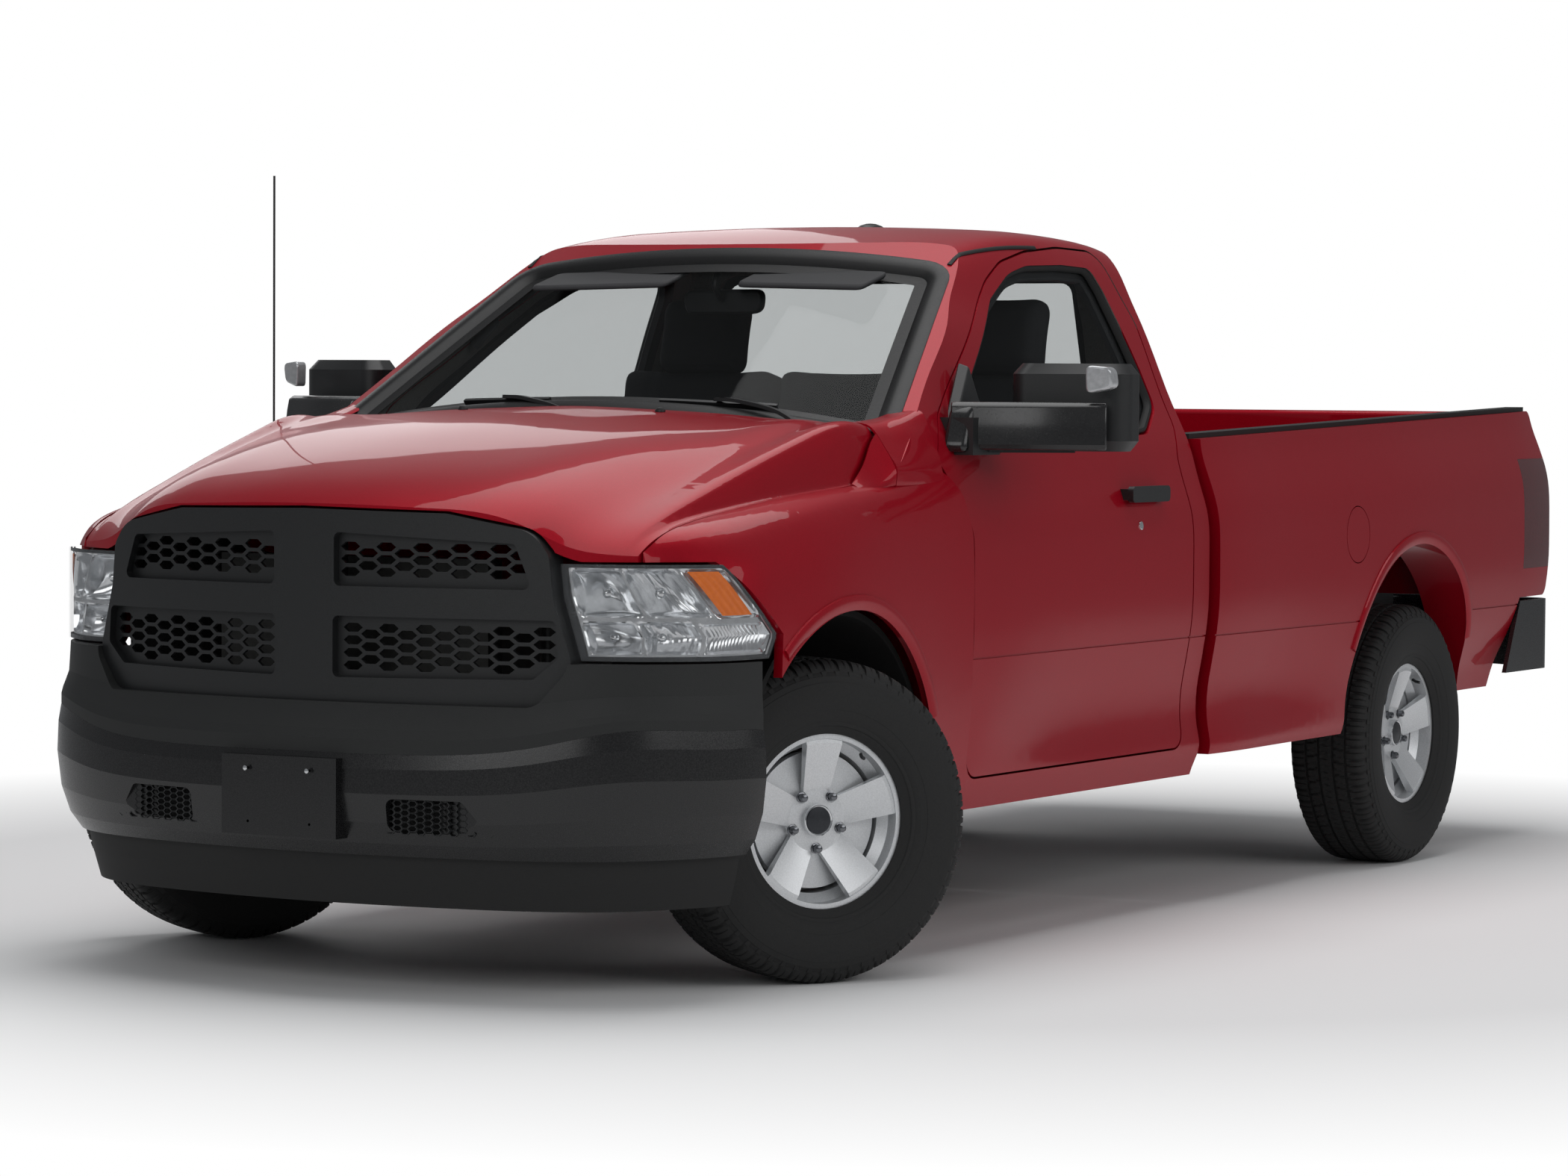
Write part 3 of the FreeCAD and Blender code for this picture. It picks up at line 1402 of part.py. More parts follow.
def build_rear_suspension():
    """Live axle with its differential, two trailing links, coil springs and shock absorbers."""
    end = rear_half_track + hub_face_reach - disc_thickness - seat_gap
    profile = [
        (end, 0.0), (end, axle_tube_radius), (differential_width, axle_tube_radius),
        (differential_width / 2, differential_radius), (-differential_width / 2, differential_radius),
        (-differential_width, axle_tube_radius), (-end, axle_tube_radius), (-end, 0.0),
    ]
    points = [V(x, wheelbase, loaded_radius + r) for x, r in profile]
    centre = V(0, wheelbase, loaded_radius)
    pieces = [Part.Face(Part.makePolygon(points + points[:1])).revolve(centre, ACROSS, 360)]
    half_link = link_thickness / 2
    for side in (-1, 1):
        link_x = side * (rail_centre_x + rail_width)
        pieces.append(
            block(
                link_x - half_link, link_x + half_link, link_front_y, wheelbase,
                loaded_radius - half_link, loaded_radius + half_link,
            )
        )
        spring_x = side * rail_centre_x
        top = V(spring_x, wheelbase, rail_rear_height - seat_gap)
        pieces.append(rod(V(spring_x, wheelbase, loaded_radius), top, spring_radius * 0.5))
        foot = V(side * shock_centre_x, wheelbase, loaded_radius)
        head = V(side * shock_centre_x, shock_centre_y, rail_rear_height + rail_height / 2)
        pieces.append(rod(foot, head, shock_radius))
    return pieces[0].fuse(pieces[1:]).removeSplitter()


def build_engine():
    return block(
        -engine_width / 2, engine_width / 2, engine_front_y, engine_front_y + engine_length,
        engine_bottom, engine_bottom + engine_height,
    )


def build_driveline():
    """Gearbox behind the engine and the shaft back to the axle."""
    start = engine_front_y + engine_length + seat_gap
    box = Part.makeCone(
        gearbox_radius_front, gearbox_radius_rear, gearbox_length, V(0, start, crank_height), BACK
    )
    tail = V(0, start + gearbox_length - shaft_radius, crank_height)
    flange = V(0, wheelbase - differential_radius - seat_gap, loaded_radius)
    return box.fuse(rod(tail, flange, shaft_radius)).removeSplitter()


def build_radiator():
    return block(
        -radiator_width / 2, radiator_width / 2, radiator_y - radiator_depth, radiator_y,
        radiator_bottom, radiator_bottom + radiator_height,
    )


def build_exhaust():
    """Pipe and muffler under the passenger's side, lying on the crossmembers."""
    front = V(exhaust_x, cab_front_y, exhaust_height)
    rear = V(exhaust_x, link_front_y + differential_radius, exhaust_height)
    muffler = block(
        exhaust_x - muffler_width / 2, exhaust_x + muffler_width / 2, muffler_front_y,
        muffler_front_y + muffler_length, exhaust_height - muffler_height / 2,
        exhaust_height + muffler_height / 2,
    )
    return rod(front, rear, exhaust_radius).fuse(muffler).removeSplitter()


def build_tank():
    return side_prism(
        [
            (tank_front_y, tank_bottom, tank_height / 4),
            (tank_front_y + tank_length, tank_bottom, tank_height / 4),
            (tank_front_y + tank_length, tank_bottom + tank_height, tank_height / 4),
            (tank_front_y, tank_bottom + tank_height, tank_height / 4),
        ],
        rail_centre_x + rail_width / 2 + seat_gap,
        rail_centre_x + rail_width / 2 + seat_gap + tank_width,
    )


def build_spare():
    """The spare wheel, flat under the rear of the bed."""
    wheel = build_tyre()
    wheel.rotate(V(0, 0, 0), BACK, 90)
    wheel.translate(V(0, spare_centre_y, spare_top - tyre_width / 2))
    return wheel


def build_dashboard():
    """Dashboard across the cab, rounded towards the seats."""
    front = cab_front_y + cab_wall + seat_gap
    outline = [
        (front, dash_top - dash_height),
        (dash_rear_y - dash_depth, dash_top - dash_height * dash_foot_share, overrun),
        (dash_rear_y, dash_top - dash_height * dash_knee_share, overrun),
        (dash_rear_y - overrun, dash_top, overrun),
        (front, dash_top, overrun),
    ]
    half = body_half_width - door_thickness * dash_side_share
    return side_prism(outline, -half, half)


def build_steering_wheel():
    """Rim, three spokes and hub, raked on its column."""
    centre = V(steering_wheel_x, steering_wheel_y, steering_wheel_height - steering_wheel_radius)
    axis = V(0, 1, 0)
    rim = Part.makeTorus(steering_wheel_radius, steering_rim_radius, centre, axis)
    hub_place = centre - axis * steering_rim_radius
    hub = Part.makeCylinder(steering_wheel_radius / 3, steering_rim_radius * 2, hub_place, axis)
    spokes = []
    for angle in (0, 180, 270):
        way = V(math.cos(math.radians(angle)), 0, math.sin(math.radians(angle)))
        rim_end = centre + way * steering_wheel_radius
        spokes.append(rod(centre, rim_end, steering_rim_radius * steering_spoke_share))
    column = rod(centre, centre - axis * (steering_wheel_y - dash_rear_y + overrun), steering_rim_radius * 2)
    wheel = rim.fuse([hub, column] + spokes).removeSplitter()
    wheel.rotate(centre, ACROSS, -steering_wheel_tilt_deg)
    return wheel


def build_seat():
    """Bench seat with its back and two head restraints."""
    base = side_prism(
        [
            (seat_front_y, seat_height - seat_thickness, overrun),
            (seat_front_y + seat_depth, seat_height - seat_thickness, 0),
            (seat_front_y + seat_depth, seat_height, 0), (seat_front_y, seat_height, overrun),
        ],
        -seat_half_width,
        seat_half_width,
    )
    plinth = block(
        -seat_half_width * 0.8, seat_half_width * 0.8, seat_front_y + overrun, seat_front_y + seat_depth,
        floor_height + seat_gap, seat_height - seat_thickness,
    )
    lean = math.tan(math.radians(seat_back_lean_deg))
    foot = seat_front_y + seat_depth - seat_back_thickness
    top = seat_height + seat_back_height
    back = side_prism(
        [
            (foot, seat_height - overrun, 0), (foot + seat_back_thickness, seat_height - overrun, 0),
            (foot + seat_back_thickness + lean * seat_back_height, top, overrun),
            (foot + lean * seat_back_height + overrun, top, overrun),
        ],
        -seat_half_width,
        seat_half_width,
    )
    rests = []
    rest_front = foot + lean * seat_back_height + overrun
    for side in (-1, 1):
        x = side * head_rest_x
        rests.append(
            block(
                x - head_rest_half_width, x + head_rest_half_width,
                rest_front, rest_front + head_rest_depth, top - overrun, top + head_rest_height,
            )
        )
    return base.fuse([plinth, back] + rests).removeSplitter()


def bed_side_surface():
    """The bed side's outer face: scooped low down in front, tucked and tapered at the tail."""
    grid = []
    for along, narrow, scoop, tuck in bed_stations:
        y = bed_front_y + along * (bed_rear_y - bed_front_y)
        top = bed_front_rail_height + along * (bed_rear_rail_height - bed_front_rail_height)
        column = []
        for index, (height_share, width_share) in enumerate(side_profile_shares):
            height = height_share * belt_height * top / bed_front_rail_height
            share = width_share - scoop * scoop_shares[index] - tuck * tail_tuck_shares[index]
            column.append(V(share * body_half_width * narrow, y, height))
        edge_share = side_profile_shares[-1][1] - tuck * tail_tuck_shares[-1] * bed_edge_tuck_share
        column.append(V(edge_share * body_half_width * narrow * bed_edge_share, y, top + overrun))
        grid.append(column)
    surface = Part.BSplineSurface()
    surface.interpolate(grid)
    return surface


def bed_side_outline():
    return [
        (bed_front_y, bed_bottom_front), (wheelbase - rear_arch_radius, bed_bottom_front),
        (wheelbase + rear_arch_radius, bed_bottom_rear),
        (rear_bumper_front_y - panel_gap, bed_bottom_rear, 0),
        (rear_bumper_top_y - panel_gap, rear_bumper_top + panel_gap * 2, 0),
        (bed_rear_y, rear_bumper_top + panel_gap * 2, overrun / 2),
        (bed_rear_y, bed_rear_rail_height, overrun / 2), (bed_front_y, bed_front_rail_height, 0),
    ]


def build_bed_side():
    """One bed side, as thick as the whole wall, open at the wheel and at the tail lamp."""
    inner = bed_inner_half_width
    wall = bed_side_surface().toShape().extrude(V(-body_half_width, 0, 0))
    slab = side_prism(bed_side_outline(), inner, body_half_width + overrun)
    wall = wall.common(slab)
    post_x = tailgate_half_width + panel_gap
    post = block(
        post_x, inner + bed_post_length / 2, bed_rear_y - bed_post_length, bed_rear_y,
        bed_floor_height + seat_gap, bed_rear_rail_height - overrun / 2,
    )
    inset = bed_side_surface().toShape()
    inset.translate(ACROSS * -crease_depth)
    crease = block(
        inner, body_half_width + overrun, bed_front_y - overrun, bed_rear_y + overrun, crease_height,
        crease_height + crease_width,
    )
    wall = wall.fuse(post).cut(crease.cut(inset.extrude(ACROSS * -body_half_width)))
    wide = body_half_width + overrun
    wall = wall.cut(arch_tool(wheelbase, rear_arch_radius, rear_arch_height, inner - overrun, wide))
    wall = wall.cut(lamp_pocket(0.0))
    pocket = Part.makeCylinder(
        fuel_door_radius + panel_gap / 2, fuel_door_depth + overrun,
        V(side_half_width(fuel_door_z) - fuel_door_depth, fuel_door_y, fuel_door_z), ACROSS,
    )
    start = side_half_width(fuel_door_z) - fuel_door_thickness
    boss = block(
        start - fuel_door_depth, start - seat_gap,
        fuel_door_y - fuel_door_radius - panel_gap, fuel_door_y - fuel_door_radius + fuel_boss_length,
        fuel_door_z - fuel_boss_length / 2, fuel_door_z + fuel_boss_length / 2,
    )
    return wall, wall.cut(pocket).fuse(boss.common(pocket)).removeSplitter(), wall.common(fuel_lid_tool())


def fuel_lid_tool():
    start = side_half_width(fuel_door_z) - fuel_door_thickness
    return Part.makeCylinder(fuel_door_radius, overrun * 2, V(start, fuel_door_y, fuel_door_z), ACROSS)


def lamp_pocket(grow):
    """The corner space that a tail lamp fills, in the bed side's rear edge."""
    return block(
        body_half_width - tail_lamp_wrap - grow, body_half_width + overrun, tail_lamp_front_y - grow,
        bed_rear_y + overrun, tail_lamp_bottom - grow, tail_lamp_top + grow,
    )


def build_tail_lamp():
    wall = bed_side_surface().toShape().extrude(V(-body_half_width, 0, 0))
    slab = side_prism(bed_side_outline(), bed_inner_half_width, body_half_width + overrun)
    return wall.common(slab).common(lamp_pocket(-seat_gap))


def build_load_bed():
    """Bed floor with its front wall and the two wheelhouses."""
    low = bed_floor_height - bed_floor_thickness
    pin_y = bed_rear_y - panel_gap - tailgate_thickness / 2
    swing = math.hypot(tailgate_thickness / 2, tailgate_pin_height - tailgate_bottom)
    rear = pin_y - swing - panel_gap
    inner = bed_inner_half_width - seat_gap
    floor = block(-inner, inner, bed_front_y, rear, low, bed_floor_height)
    wall = block(
        -inner, inner, bed_front_y, bed_front_y + bed_front_wall, low, bed_front_rail_height,
    )
    pieces = [wall]
    for side in (-1, 1):
        x_from = side * wheelhouse_inner_x
        x_to = side * inner
        outer = side_prism(wheelhouse_outline(0), x_from, x_to)
        pieces.append(outer)
    bed = floor.fuse(pieces)
    for side in (-1, 1):
        hollow = side_prism(
            wheelhouse_outline(wheelhouse_wall),
            side * (wheelhouse_inner_x + wheelhouse_wall),
            side * (inner + overrun),
        )
        bed = bed.cut(hollow)
    return bed.removeSplitter()


def wheelhouse_outline(inset):
    front = wheelbase - wheelhouse_half_length + inset
    rear = wheelbase + wheelhouse_half_length - inset
    low = bed_floor_height - bed_floor_thickness - (overrun if inset else 0.0)
    top = wheelhouse_height - inset
    corner = wheelhouse_half_length / 2
    return [(front, low, 0), (rear, low, 0), (rear - overrun, top, corner), (front + overrun, top, corner)]


def build_rail_caps():
    """Plastic caps along the tops of the bed sides and the front wall."""
    climb = (bed_rear_rail_height - bed_front_rail_height) / (bed_rear_y - bed_front_y)
    front = bed_front_rail_height + seat_gap
    rear = bed_rear_rail_height - climb * overrun + seat_gap
    cap = side_prism(
        [
            (bed_front_y, front), (bed_rear_y - overrun, rear),
            (bed_rear_y - overrun, rear + rail_cap_height), (bed_front_y, front + rail_cap_height),
        ],
        bed_inner_half_width,
        (side_profile_shares[-1][1] - tail_tuck_shares[-1]) * body_half_width * bed_tail_narrowing_share,
    )
    return both_sides(cap)


def build_tailgate():
    """The tailgate between the bed sides, with its two pivot pins."""
    front = bed_rear_y - tailgate_thickness - panel_gap
    panel = side_prism(
        [
            (front, tailgate_bottom, overrun / 4),
            (front + tailgate_thickness, tailgate_bottom, overrun / 3),
            (front + tailgate_thickness, tailgate_top, overrun / 3), (front, tailgate_top, overrun / 4),
        ],
        -tailgate_half_width,
        tailgate_half_width,
    )
    centre_y = front + tailgate_thickness / 2
    pins = []
    for side in (-1, 1):
        pins.append(
            rod(
                V(side * (tailgate_half_width - tailgate_pin_reach), centre_y, tailgate_pin_height),
                V(side * (tailgate_half_width + panel_gap - seat_gap), centre_y, tailgate_pin_height),
                tailgate_pin_radius,
            )
        )
    return panel.fuse(pins).removeSplitter()


def build_rear_bumper():
    """Step bumper across the tail: a wrapped skin under a step pad with the tow ball's hole."""
    half = rear_bumper_half_width
    apex = half * rear_bumper_apex_share
    turn = overrun * rear_bumper_turn_share
    outer = [
        (half, rear_bumper_front_y, 0), (half, rear_bumper_corner_y, turn),
        (apex, rear_bumper_apex_y, overrun), (-apex, rear_bumper_apex_y, overrun),
        (-half, rear_bumper_corner_y, turn), (-half, rear_bumper_front_y, 0),
    ]
    shell = plan_prism(outer, rear_bumper_bottom, rear_bumper_top)
    inset = rear_bumper_wall
    inner = [
        (half - inset, rear_bumper_front_y - overrun, 0),
        (half - inset, rear_bumper_corner_y - inset / 2, turn),
        (apex - inset / 2, rear_bumper_apex_y - inset, overrun),
        (-apex + inset / 2, rear_bumper_apex_y - inset, overrun),
        (-half + inset, rear_bumper_corner_y - inset / 2, turn),
        (-half + inset, rear_bumper_front_y - overrun, 0),
    ]
    hollow = plan_prism(inner, rear_bumper_bottom - overrun, rear_bumper_top - step_pad_thickness)
    above = block(
        -half + inset, half - inset, rear_bumper_front_y - overrun, bed_rear_y - inset,
        rear_bumper_bottom - overrun, rear_bumper_top + overrun,
    )
    hole = Part.makeCylinder(
        tow_ball_hole_radius, rear_bumper_top, V(0, tow_ball_y, rear_bumper_bottom / 2)
    )
    ahead = side_prism(
        [
            (rear_bumper_front_y - overrun, rear_bumper_bottom - overrun),
            (rear_bumper_front_y, rear_bumper_bottom - overrun), (rear_bumper_front_y, rear_bumper_bottom),
            (rear_bumper_top_y, rear_bumper_top), (rear_bumper_top_y, rear_bumper_top + overrun),
            (rear_bumper_front_y - overrun, rear_bumper_top + overrun),
        ],
        -half - overrun,
        half + overrun,
    )
    skin = shell.cut([hollow, above, hole, ahead])
    brackets = block(
        rail_centre_x - rail_width / 2, rail_centre_x + rail_width / 2, rail_rear_y + seat_gap,
        rear_bumper_apex_y - inset / 2, rail_rear_height, rear_bumper_top - step_pad_thickness / 2,
    )
    return skin.fuse(both_sides(brackets)).removeSplitter()


def build_antenna():
    """Rod antenna on the passenger's fender."""
    place = V(antenna_x, antenna_y, belt_height * antenna_foot_share)
    foot = Part.makeCone(antenna_foot_radius, antenna_foot_radius / 2, antenna_foot_height, place)
    mast = Part.makeCylinder(antenna_rod_radius, antenna_top - place.z, place)
    return foot.fuse(mast).removeSplitter()


def build_liner():
    """Arched liner between the front wheel and the engine bay."""
    x_from = rail_centre_x + rail_width
    x_to = body_half_width - fender_thickness * liner_gap_share
    outer = arch_tool(0, front_arch_radius - seat_gap, front_arch_height - seat_gap, x_from, x_to)
    inner = arch_tool(
        0, front_arch_radius - wheelhouse_wall, front_arch_height - wheelhouse_wall,
        x_from - overrun, x_to + overrun,
    )
    ring = outer.cut(inner).common(
        block(
            x_from, x_to, bumper_end_y + panel_gap * liner_setback_share,
            front_arch_radius - seat_gap * 2, fender_bottom,
            front_arch_height,
        )
    )
    return ring


def build_cowl(hood):
    """Cowl panel below the windshield, with a rest under each rear corner of the hood."""
    lowered = hood.copy()
    lowered.translate(UP * -seat_gap)
    rest = block(
        hood_rest_x, hood_rest_x + hood_rest_width,
        hood_rear_y - hood_rear_bow, cowl_front_y + panel_gap / 2,
        cowl_height - overrun / 2, cowl_height + hood_thickness / 3,
    )
    return cowl_block(0.0).fuse(both_sides(rest)).removeSplitter().cut(lowered)


def cowl_block(grow):
    half = cowl_half_width
    return block(
        -half - grow, half + grow, cowl_front_y - grow, windshield_foot_y + grow,
        cowl_height - overrun - grow, cowl_height + grow,
    )


def main():
    os.makedirs("parts", exist_ok=True)
    shell, door, windshield, pane, side_glass = build_cab()
    keep("cab_shell", shell)
    keep("cab_glass", windshield, pane)
    handle = build_handle(door)
    mirror = build_mirror([door, side_glass])
    for name, shape in (
        ("door", door), ("door_glass", side_glass), ("door_handle", handle), ("mirror", mirror),
    ):
        keep(name + "_left", shape)
        keep(name + "_right", mirrored(shape))
    fender = build_fender()
    keep("front_fenders", *both_sides(fender))
    keep("wheel_liners", *both_sides(build_liner()))
    hood = build_hood()
    keep("hood", hood)
    keep("grille", build_grille())
    keep("headlamps", *both_sides(build_headlamp()))
    bumper, cover, dam = build_front_end()
    keep("front_bumper", bumper)
    keep("bumper_cover", cover)
    keep("air_dam", dam)
    keep("frame", build_frame())
    keep("front_suspension", *build_front_suspension())
    keep("rear_suspension", build_rear_suspension())
    keep("engine", build_engine())
    keep("driveline", build_driveline())
    keep("radiator", build_radiator())
    keep("exhaust", build_exhaust())
    keep("fuel_tank", build_tank())
    keep("spare_wheel", build_spare())
    dashboard = build_dashboard()
    keep("dashboard", dashboard)
    keep("steering_wheel", build_steering_wheel().cut(dashboard))
    keep("bench_seat", build_seat())
    plain_side, fuel_side, fuel_lid = build_bed_side()
    keep("bed_sides", fuel_side, mirrored(plain_side))
    keep("fuel_door", fuel_lid)
    keep("load_bed", build_load_bed())
    keep("bed_rail_caps", *build_rail_caps())
    keep("tail_lamps", *both_sides(build_tail_lamp()))
    keep("tailgate", build_tailgate())
    keep("rear_bumper", build_rear_bumper())
    lifted = mirrored(fender)
    lifted.translate(UP * seat_gap)
    keep("antenna", build_antenna().cut(lifted))
    keep("cowl_panel", build_cowl(hood))
    rim = build_rim()
    tyre = build_tyre()
    knuckle = build_knuckle()
    for word, side in (("left", 1), ("right", -1)):
        upright = knuckle if side > 0 else mirrored(knuckle)
        keep("knuckle_" + word, turned(upright, side))
        for name, shape in (("rim", rim), ("tyre", tyre)):
            keep(name + "_front_" + word, turned(at_wheel(shape, side, front_half_track, 0), side))
            keep(name + "_rear_" + word, at_wheel(shape, side, rear_half_track, wheelbase))


main()
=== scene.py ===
"""Looks of the pickup truck: its finishes, glass, lamps, wheels, trim and seat."""
import json
import math

import bmesh
import bpy
from mathutils import Matrix, Vector
from mathutils.bvhtree import BVHTree


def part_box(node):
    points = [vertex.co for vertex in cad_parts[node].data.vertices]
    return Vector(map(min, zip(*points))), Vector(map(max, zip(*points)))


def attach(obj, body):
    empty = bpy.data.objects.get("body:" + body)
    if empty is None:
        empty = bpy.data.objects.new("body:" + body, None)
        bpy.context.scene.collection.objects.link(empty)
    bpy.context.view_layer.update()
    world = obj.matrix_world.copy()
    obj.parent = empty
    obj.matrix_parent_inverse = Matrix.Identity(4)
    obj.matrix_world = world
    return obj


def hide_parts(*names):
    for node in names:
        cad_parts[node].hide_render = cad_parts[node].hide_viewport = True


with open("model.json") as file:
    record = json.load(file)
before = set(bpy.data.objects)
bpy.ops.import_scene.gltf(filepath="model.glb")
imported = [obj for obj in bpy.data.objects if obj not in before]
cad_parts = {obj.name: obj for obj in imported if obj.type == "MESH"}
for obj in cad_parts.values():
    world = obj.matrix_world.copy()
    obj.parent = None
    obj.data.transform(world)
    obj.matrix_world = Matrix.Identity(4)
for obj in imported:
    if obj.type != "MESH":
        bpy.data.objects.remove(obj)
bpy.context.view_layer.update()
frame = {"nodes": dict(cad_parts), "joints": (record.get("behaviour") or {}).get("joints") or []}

NODES = frame["nodes"]
PHOTO_WIDTH, PHOTO_HEIGHT = 2100, 1575

# Camera, as found from the photograph
CAMERA_PLACE = Vector((6.812, -12.426, 1.477))
CAMERA_HEADING_DEG = 29.393
CAMERA_DIP_DEG = 2.632
CAMERA_ROLL_DEG = 0.387
CAMERA_FOCAL_PIXELS = 6600.0
SENSOR_WIDTH = 36.0
CAMERA_REACH = 110.0
CAMERA_CENTRE_PIXELS = (1097.7, 809.3)

SMOOTH_ANGLE, BEVEL_ANGLE = math.radians(32), math.radians(35)
WELD_REACH = 1e-5
JOINTS = {joint["name"]: joint for joint in frame["joints"]}
# The left front wheel's centre, which steering has moved 10 mm ahead of the axle line
FRONT_WHEEL_Y = JOINTS["spin_front_left"]["pos_m"][1]
UP = Vector((0, 0, 1))
ACROSS = Vector((1, 0, 0))
BACK = Vector((0, 1, 0))
# Turns what looks along the local X axis to look forwards
FACING_FRONT = Matrix.Rotation(math.radians(-90), 4, "Z")
# Rays start above the roof or beside the body
SKY, ASIDE = 2.2, 1.3
SIDES = {"left": 1, "right": -1}

# Tyres and wheels
TYRE_BOX = [Vector(corner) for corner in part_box("tyre_rear_left")]
TYRE_RADIUS = (TYRE_BOX[1].z - TYRE_BOX[0].z) / 2
TYRE_HALF_WIDTH = (TYRE_BOX[1].x - TYRE_BOX[0].x) / 2
BEAD_RADIUS = 0.214
BEAD_REACH = 0.095
TREAD_PITCHES = 60
TREAD_DEPTH = 0.008
GROOVE_PLACES = (-0.064, -0.023, 0.023, 0.064)
GROOVE_HALF_WIDTH = 0.0048
SHOULDER_EDGE, BLOCK_EDGE, SIPE_END = 0.069, 0.0275, 0.115
FADE_START, FADE_END = 0.016, 0.031
LUG_CIRCLE_RADIUS = 0.06985
HUB_FACE_REACH = 0.038
HUB_CAP_REACH = 0.066
NUT_COUNT = 5
NUT_SEAT = 0.011
CALLIPER_REACH, CALLIPER_OUTER, CALLIPER_INNER = -0.050, 0.178, 0.122
CALLIPER_STEPS, CALLIPER_SWEEP_DEG, CALLIPER_BEVEL = 9, 26, 0.006
WALL_STEPS, CAP_STEPS, DISC_STEPS = 180, 48, 90
VALVE_RADIUS, VALVE_TURN = 0.0045, Matrix.Rotation(-math.tau * 0.10, 4, "X")
TREAD_ANGLE = math.radians(28)
# Half the tread, as (across, drop from the crown), then a wall, as (across, radius)
TREAD_CROWN = (
    (0.0, 0.0), (0.0095, 0.0), (0.0182, 0.0001), (0.0195, 0.0001), (0.0265, 0.0001), (0.0278, 0.0001),
    (0.036, 0.0002), (0.044, 0.0003), (0.052, 0.0005), (0.0592, 0.0007), (0.0605, 0.0007), (0.0675, 0.0010),
    (0.0688, 0.0011), (0.080, 0.0018), (0.090, 0.0027), (0.098, 0.0045), (0.106, 0.0085), (0.113, 0.0150),
    (0.118, 0.0230), (0.1205, 0.0300), (0.1215, 0.0330),
)
WALL_WIDEST = 0.1325
TYRE_WALL = (
    (BEAD_REACH - 0.002, BEAD_RADIUS + 0.001), (BEAD_REACH + 0.006, 0.2145), (0.1045, 0.2200),
    (0.1095, 0.2280), (0.1125, 0.2340), (0.1155, 0.2360), (0.1175, 0.2400), (0.1178, 0.2450),
    (0.1195, 0.2470), (0.1235, 0.2600), (0.1268, 0.2740), (0.1276, 0.2745), (0.1300, 0.2880),
    (0.1318, 0.3030), (0.1325, 0.3160), (0.1322, 0.3300), (0.1312, 0.3420), (0.1303, 0.3425),
    (0.1290, 0.3520), (0.1278, 0.3570), (0.1262, 0.3574), (0.1232, 0.3640), (0.1200, 0.3670),
    (0.1170, 0.3720),
)
# A shoulder rib's corners as (across, along, radius)
WALL_RIB = (
    (0.1268, -0.0045, 0.3530), (0.1268, 0.0045, 0.3530), (0.1215, 0.0070, 0.3680),
    (0.1215, -0.0070, 0.3680),
)
# Places of the tread's rows in half a pitch
PITCH_STEPS = (0.0, 0.01, 0.055, 0.06, 0.135, 0.145, 0.26, 0.38)
# A wheel nut's levels: height, radius and whether its flats show
NUT_LEVELS = (
    (0.0, 0.0125, 0), (0.004, 0.0125, 0), (0.005, 0.0105, 1), (0.019, 0.0105, 1), (0.0225, 0.0085, 0),
    (0.0245, 0.0045, 0), (0.0250, 0.0008, 0),
)
NUT_STEPS = 24
# Outlines as (outward, radius): the bright ring and the dark face of the centre cap, then the brake disc
HUB_CAP = (
    ((-0.004, 0.0385), (0.0012, 0.0385), (0.0024, 0.0365), (0.0012, 0.0345), (0.0005, 0.0330)),
    ((0.0004, 0.0332), (0.0022, 0.0325), (0.0044, 0.020), (0.0052, 0.0002)),
)
BRAKE_DISC = (
    (-0.012, 0.075), (-0.012, 0.168), (-0.024, 0.168), (-0.028, 0.165), (-0.040, 0.165), (-0.040, 0.075),
)
# The valve's line as (outward, ahead, up), before it is turned to its place between two spokes
VALVE_STEM = ((0.070, 0, 0.196), (0.082, 0, 0.189), (0.096, 0, 0.186))

# Headlamps: the front line as (x, y) and the inner line as (x, z), y behind the front wheel's centre
LAMP_TOP, LAMP_BOTTOM = 1.038, 0.812
LAMP_FRONT = (
    (0.600, -0.768), (0.709, -0.743), (0.811, -0.704), (0.905, -0.628), (0.963, -0.548), (0.984, -0.452),
    (0.990, -0.352),
)
LAMP_TAIL_Y, LAMP_TAIL_HEIGHT, LAMP_OUTER_Y = -0.352, 0.868, -0.556
LAMP_FOOT_SHARE = 0.10
LENS_GRID, LENS_DEPTHS, BOWL_GRID = (44, 20), (0.0005, 0.0035), (150, 74)
BOWL_ANGLE, LINE_STEPS, HALVINGS = math.radians(24), 12, 24
# Shares across and up each bright bowl, its depth and the flutes in it
LAMP_BOWLS = (
    (0.045, 0.335, 0.46, 0.95, 0.085, 0), (0.350, 0.640, 0.46, 0.95, 0.080, 7),
    (0.660, 0.985, 0.44, 0.95, 0.034, 0), (0.045, 0.270, 0.07, 0.40, 0.060, 0),
    (0.285, 0.510, 0.07, 0.40, 0.058, 6), (0.530, 0.960, 0.07, 0.38, 0.030, 16),
)
BOWL_REST, FLUTE_DEPTH = 0.012, 0.0022
# Each bulb's share across and up, its depth and its radius
BULBS = (
    (0.49, 0.70, 0.050, 0.013), (0.19, 0.70, 0.050, 0.013), (0.39, 0.24, 0.034, 0.011),
    (0.16, 0.24, 0.036, 0.010),
)
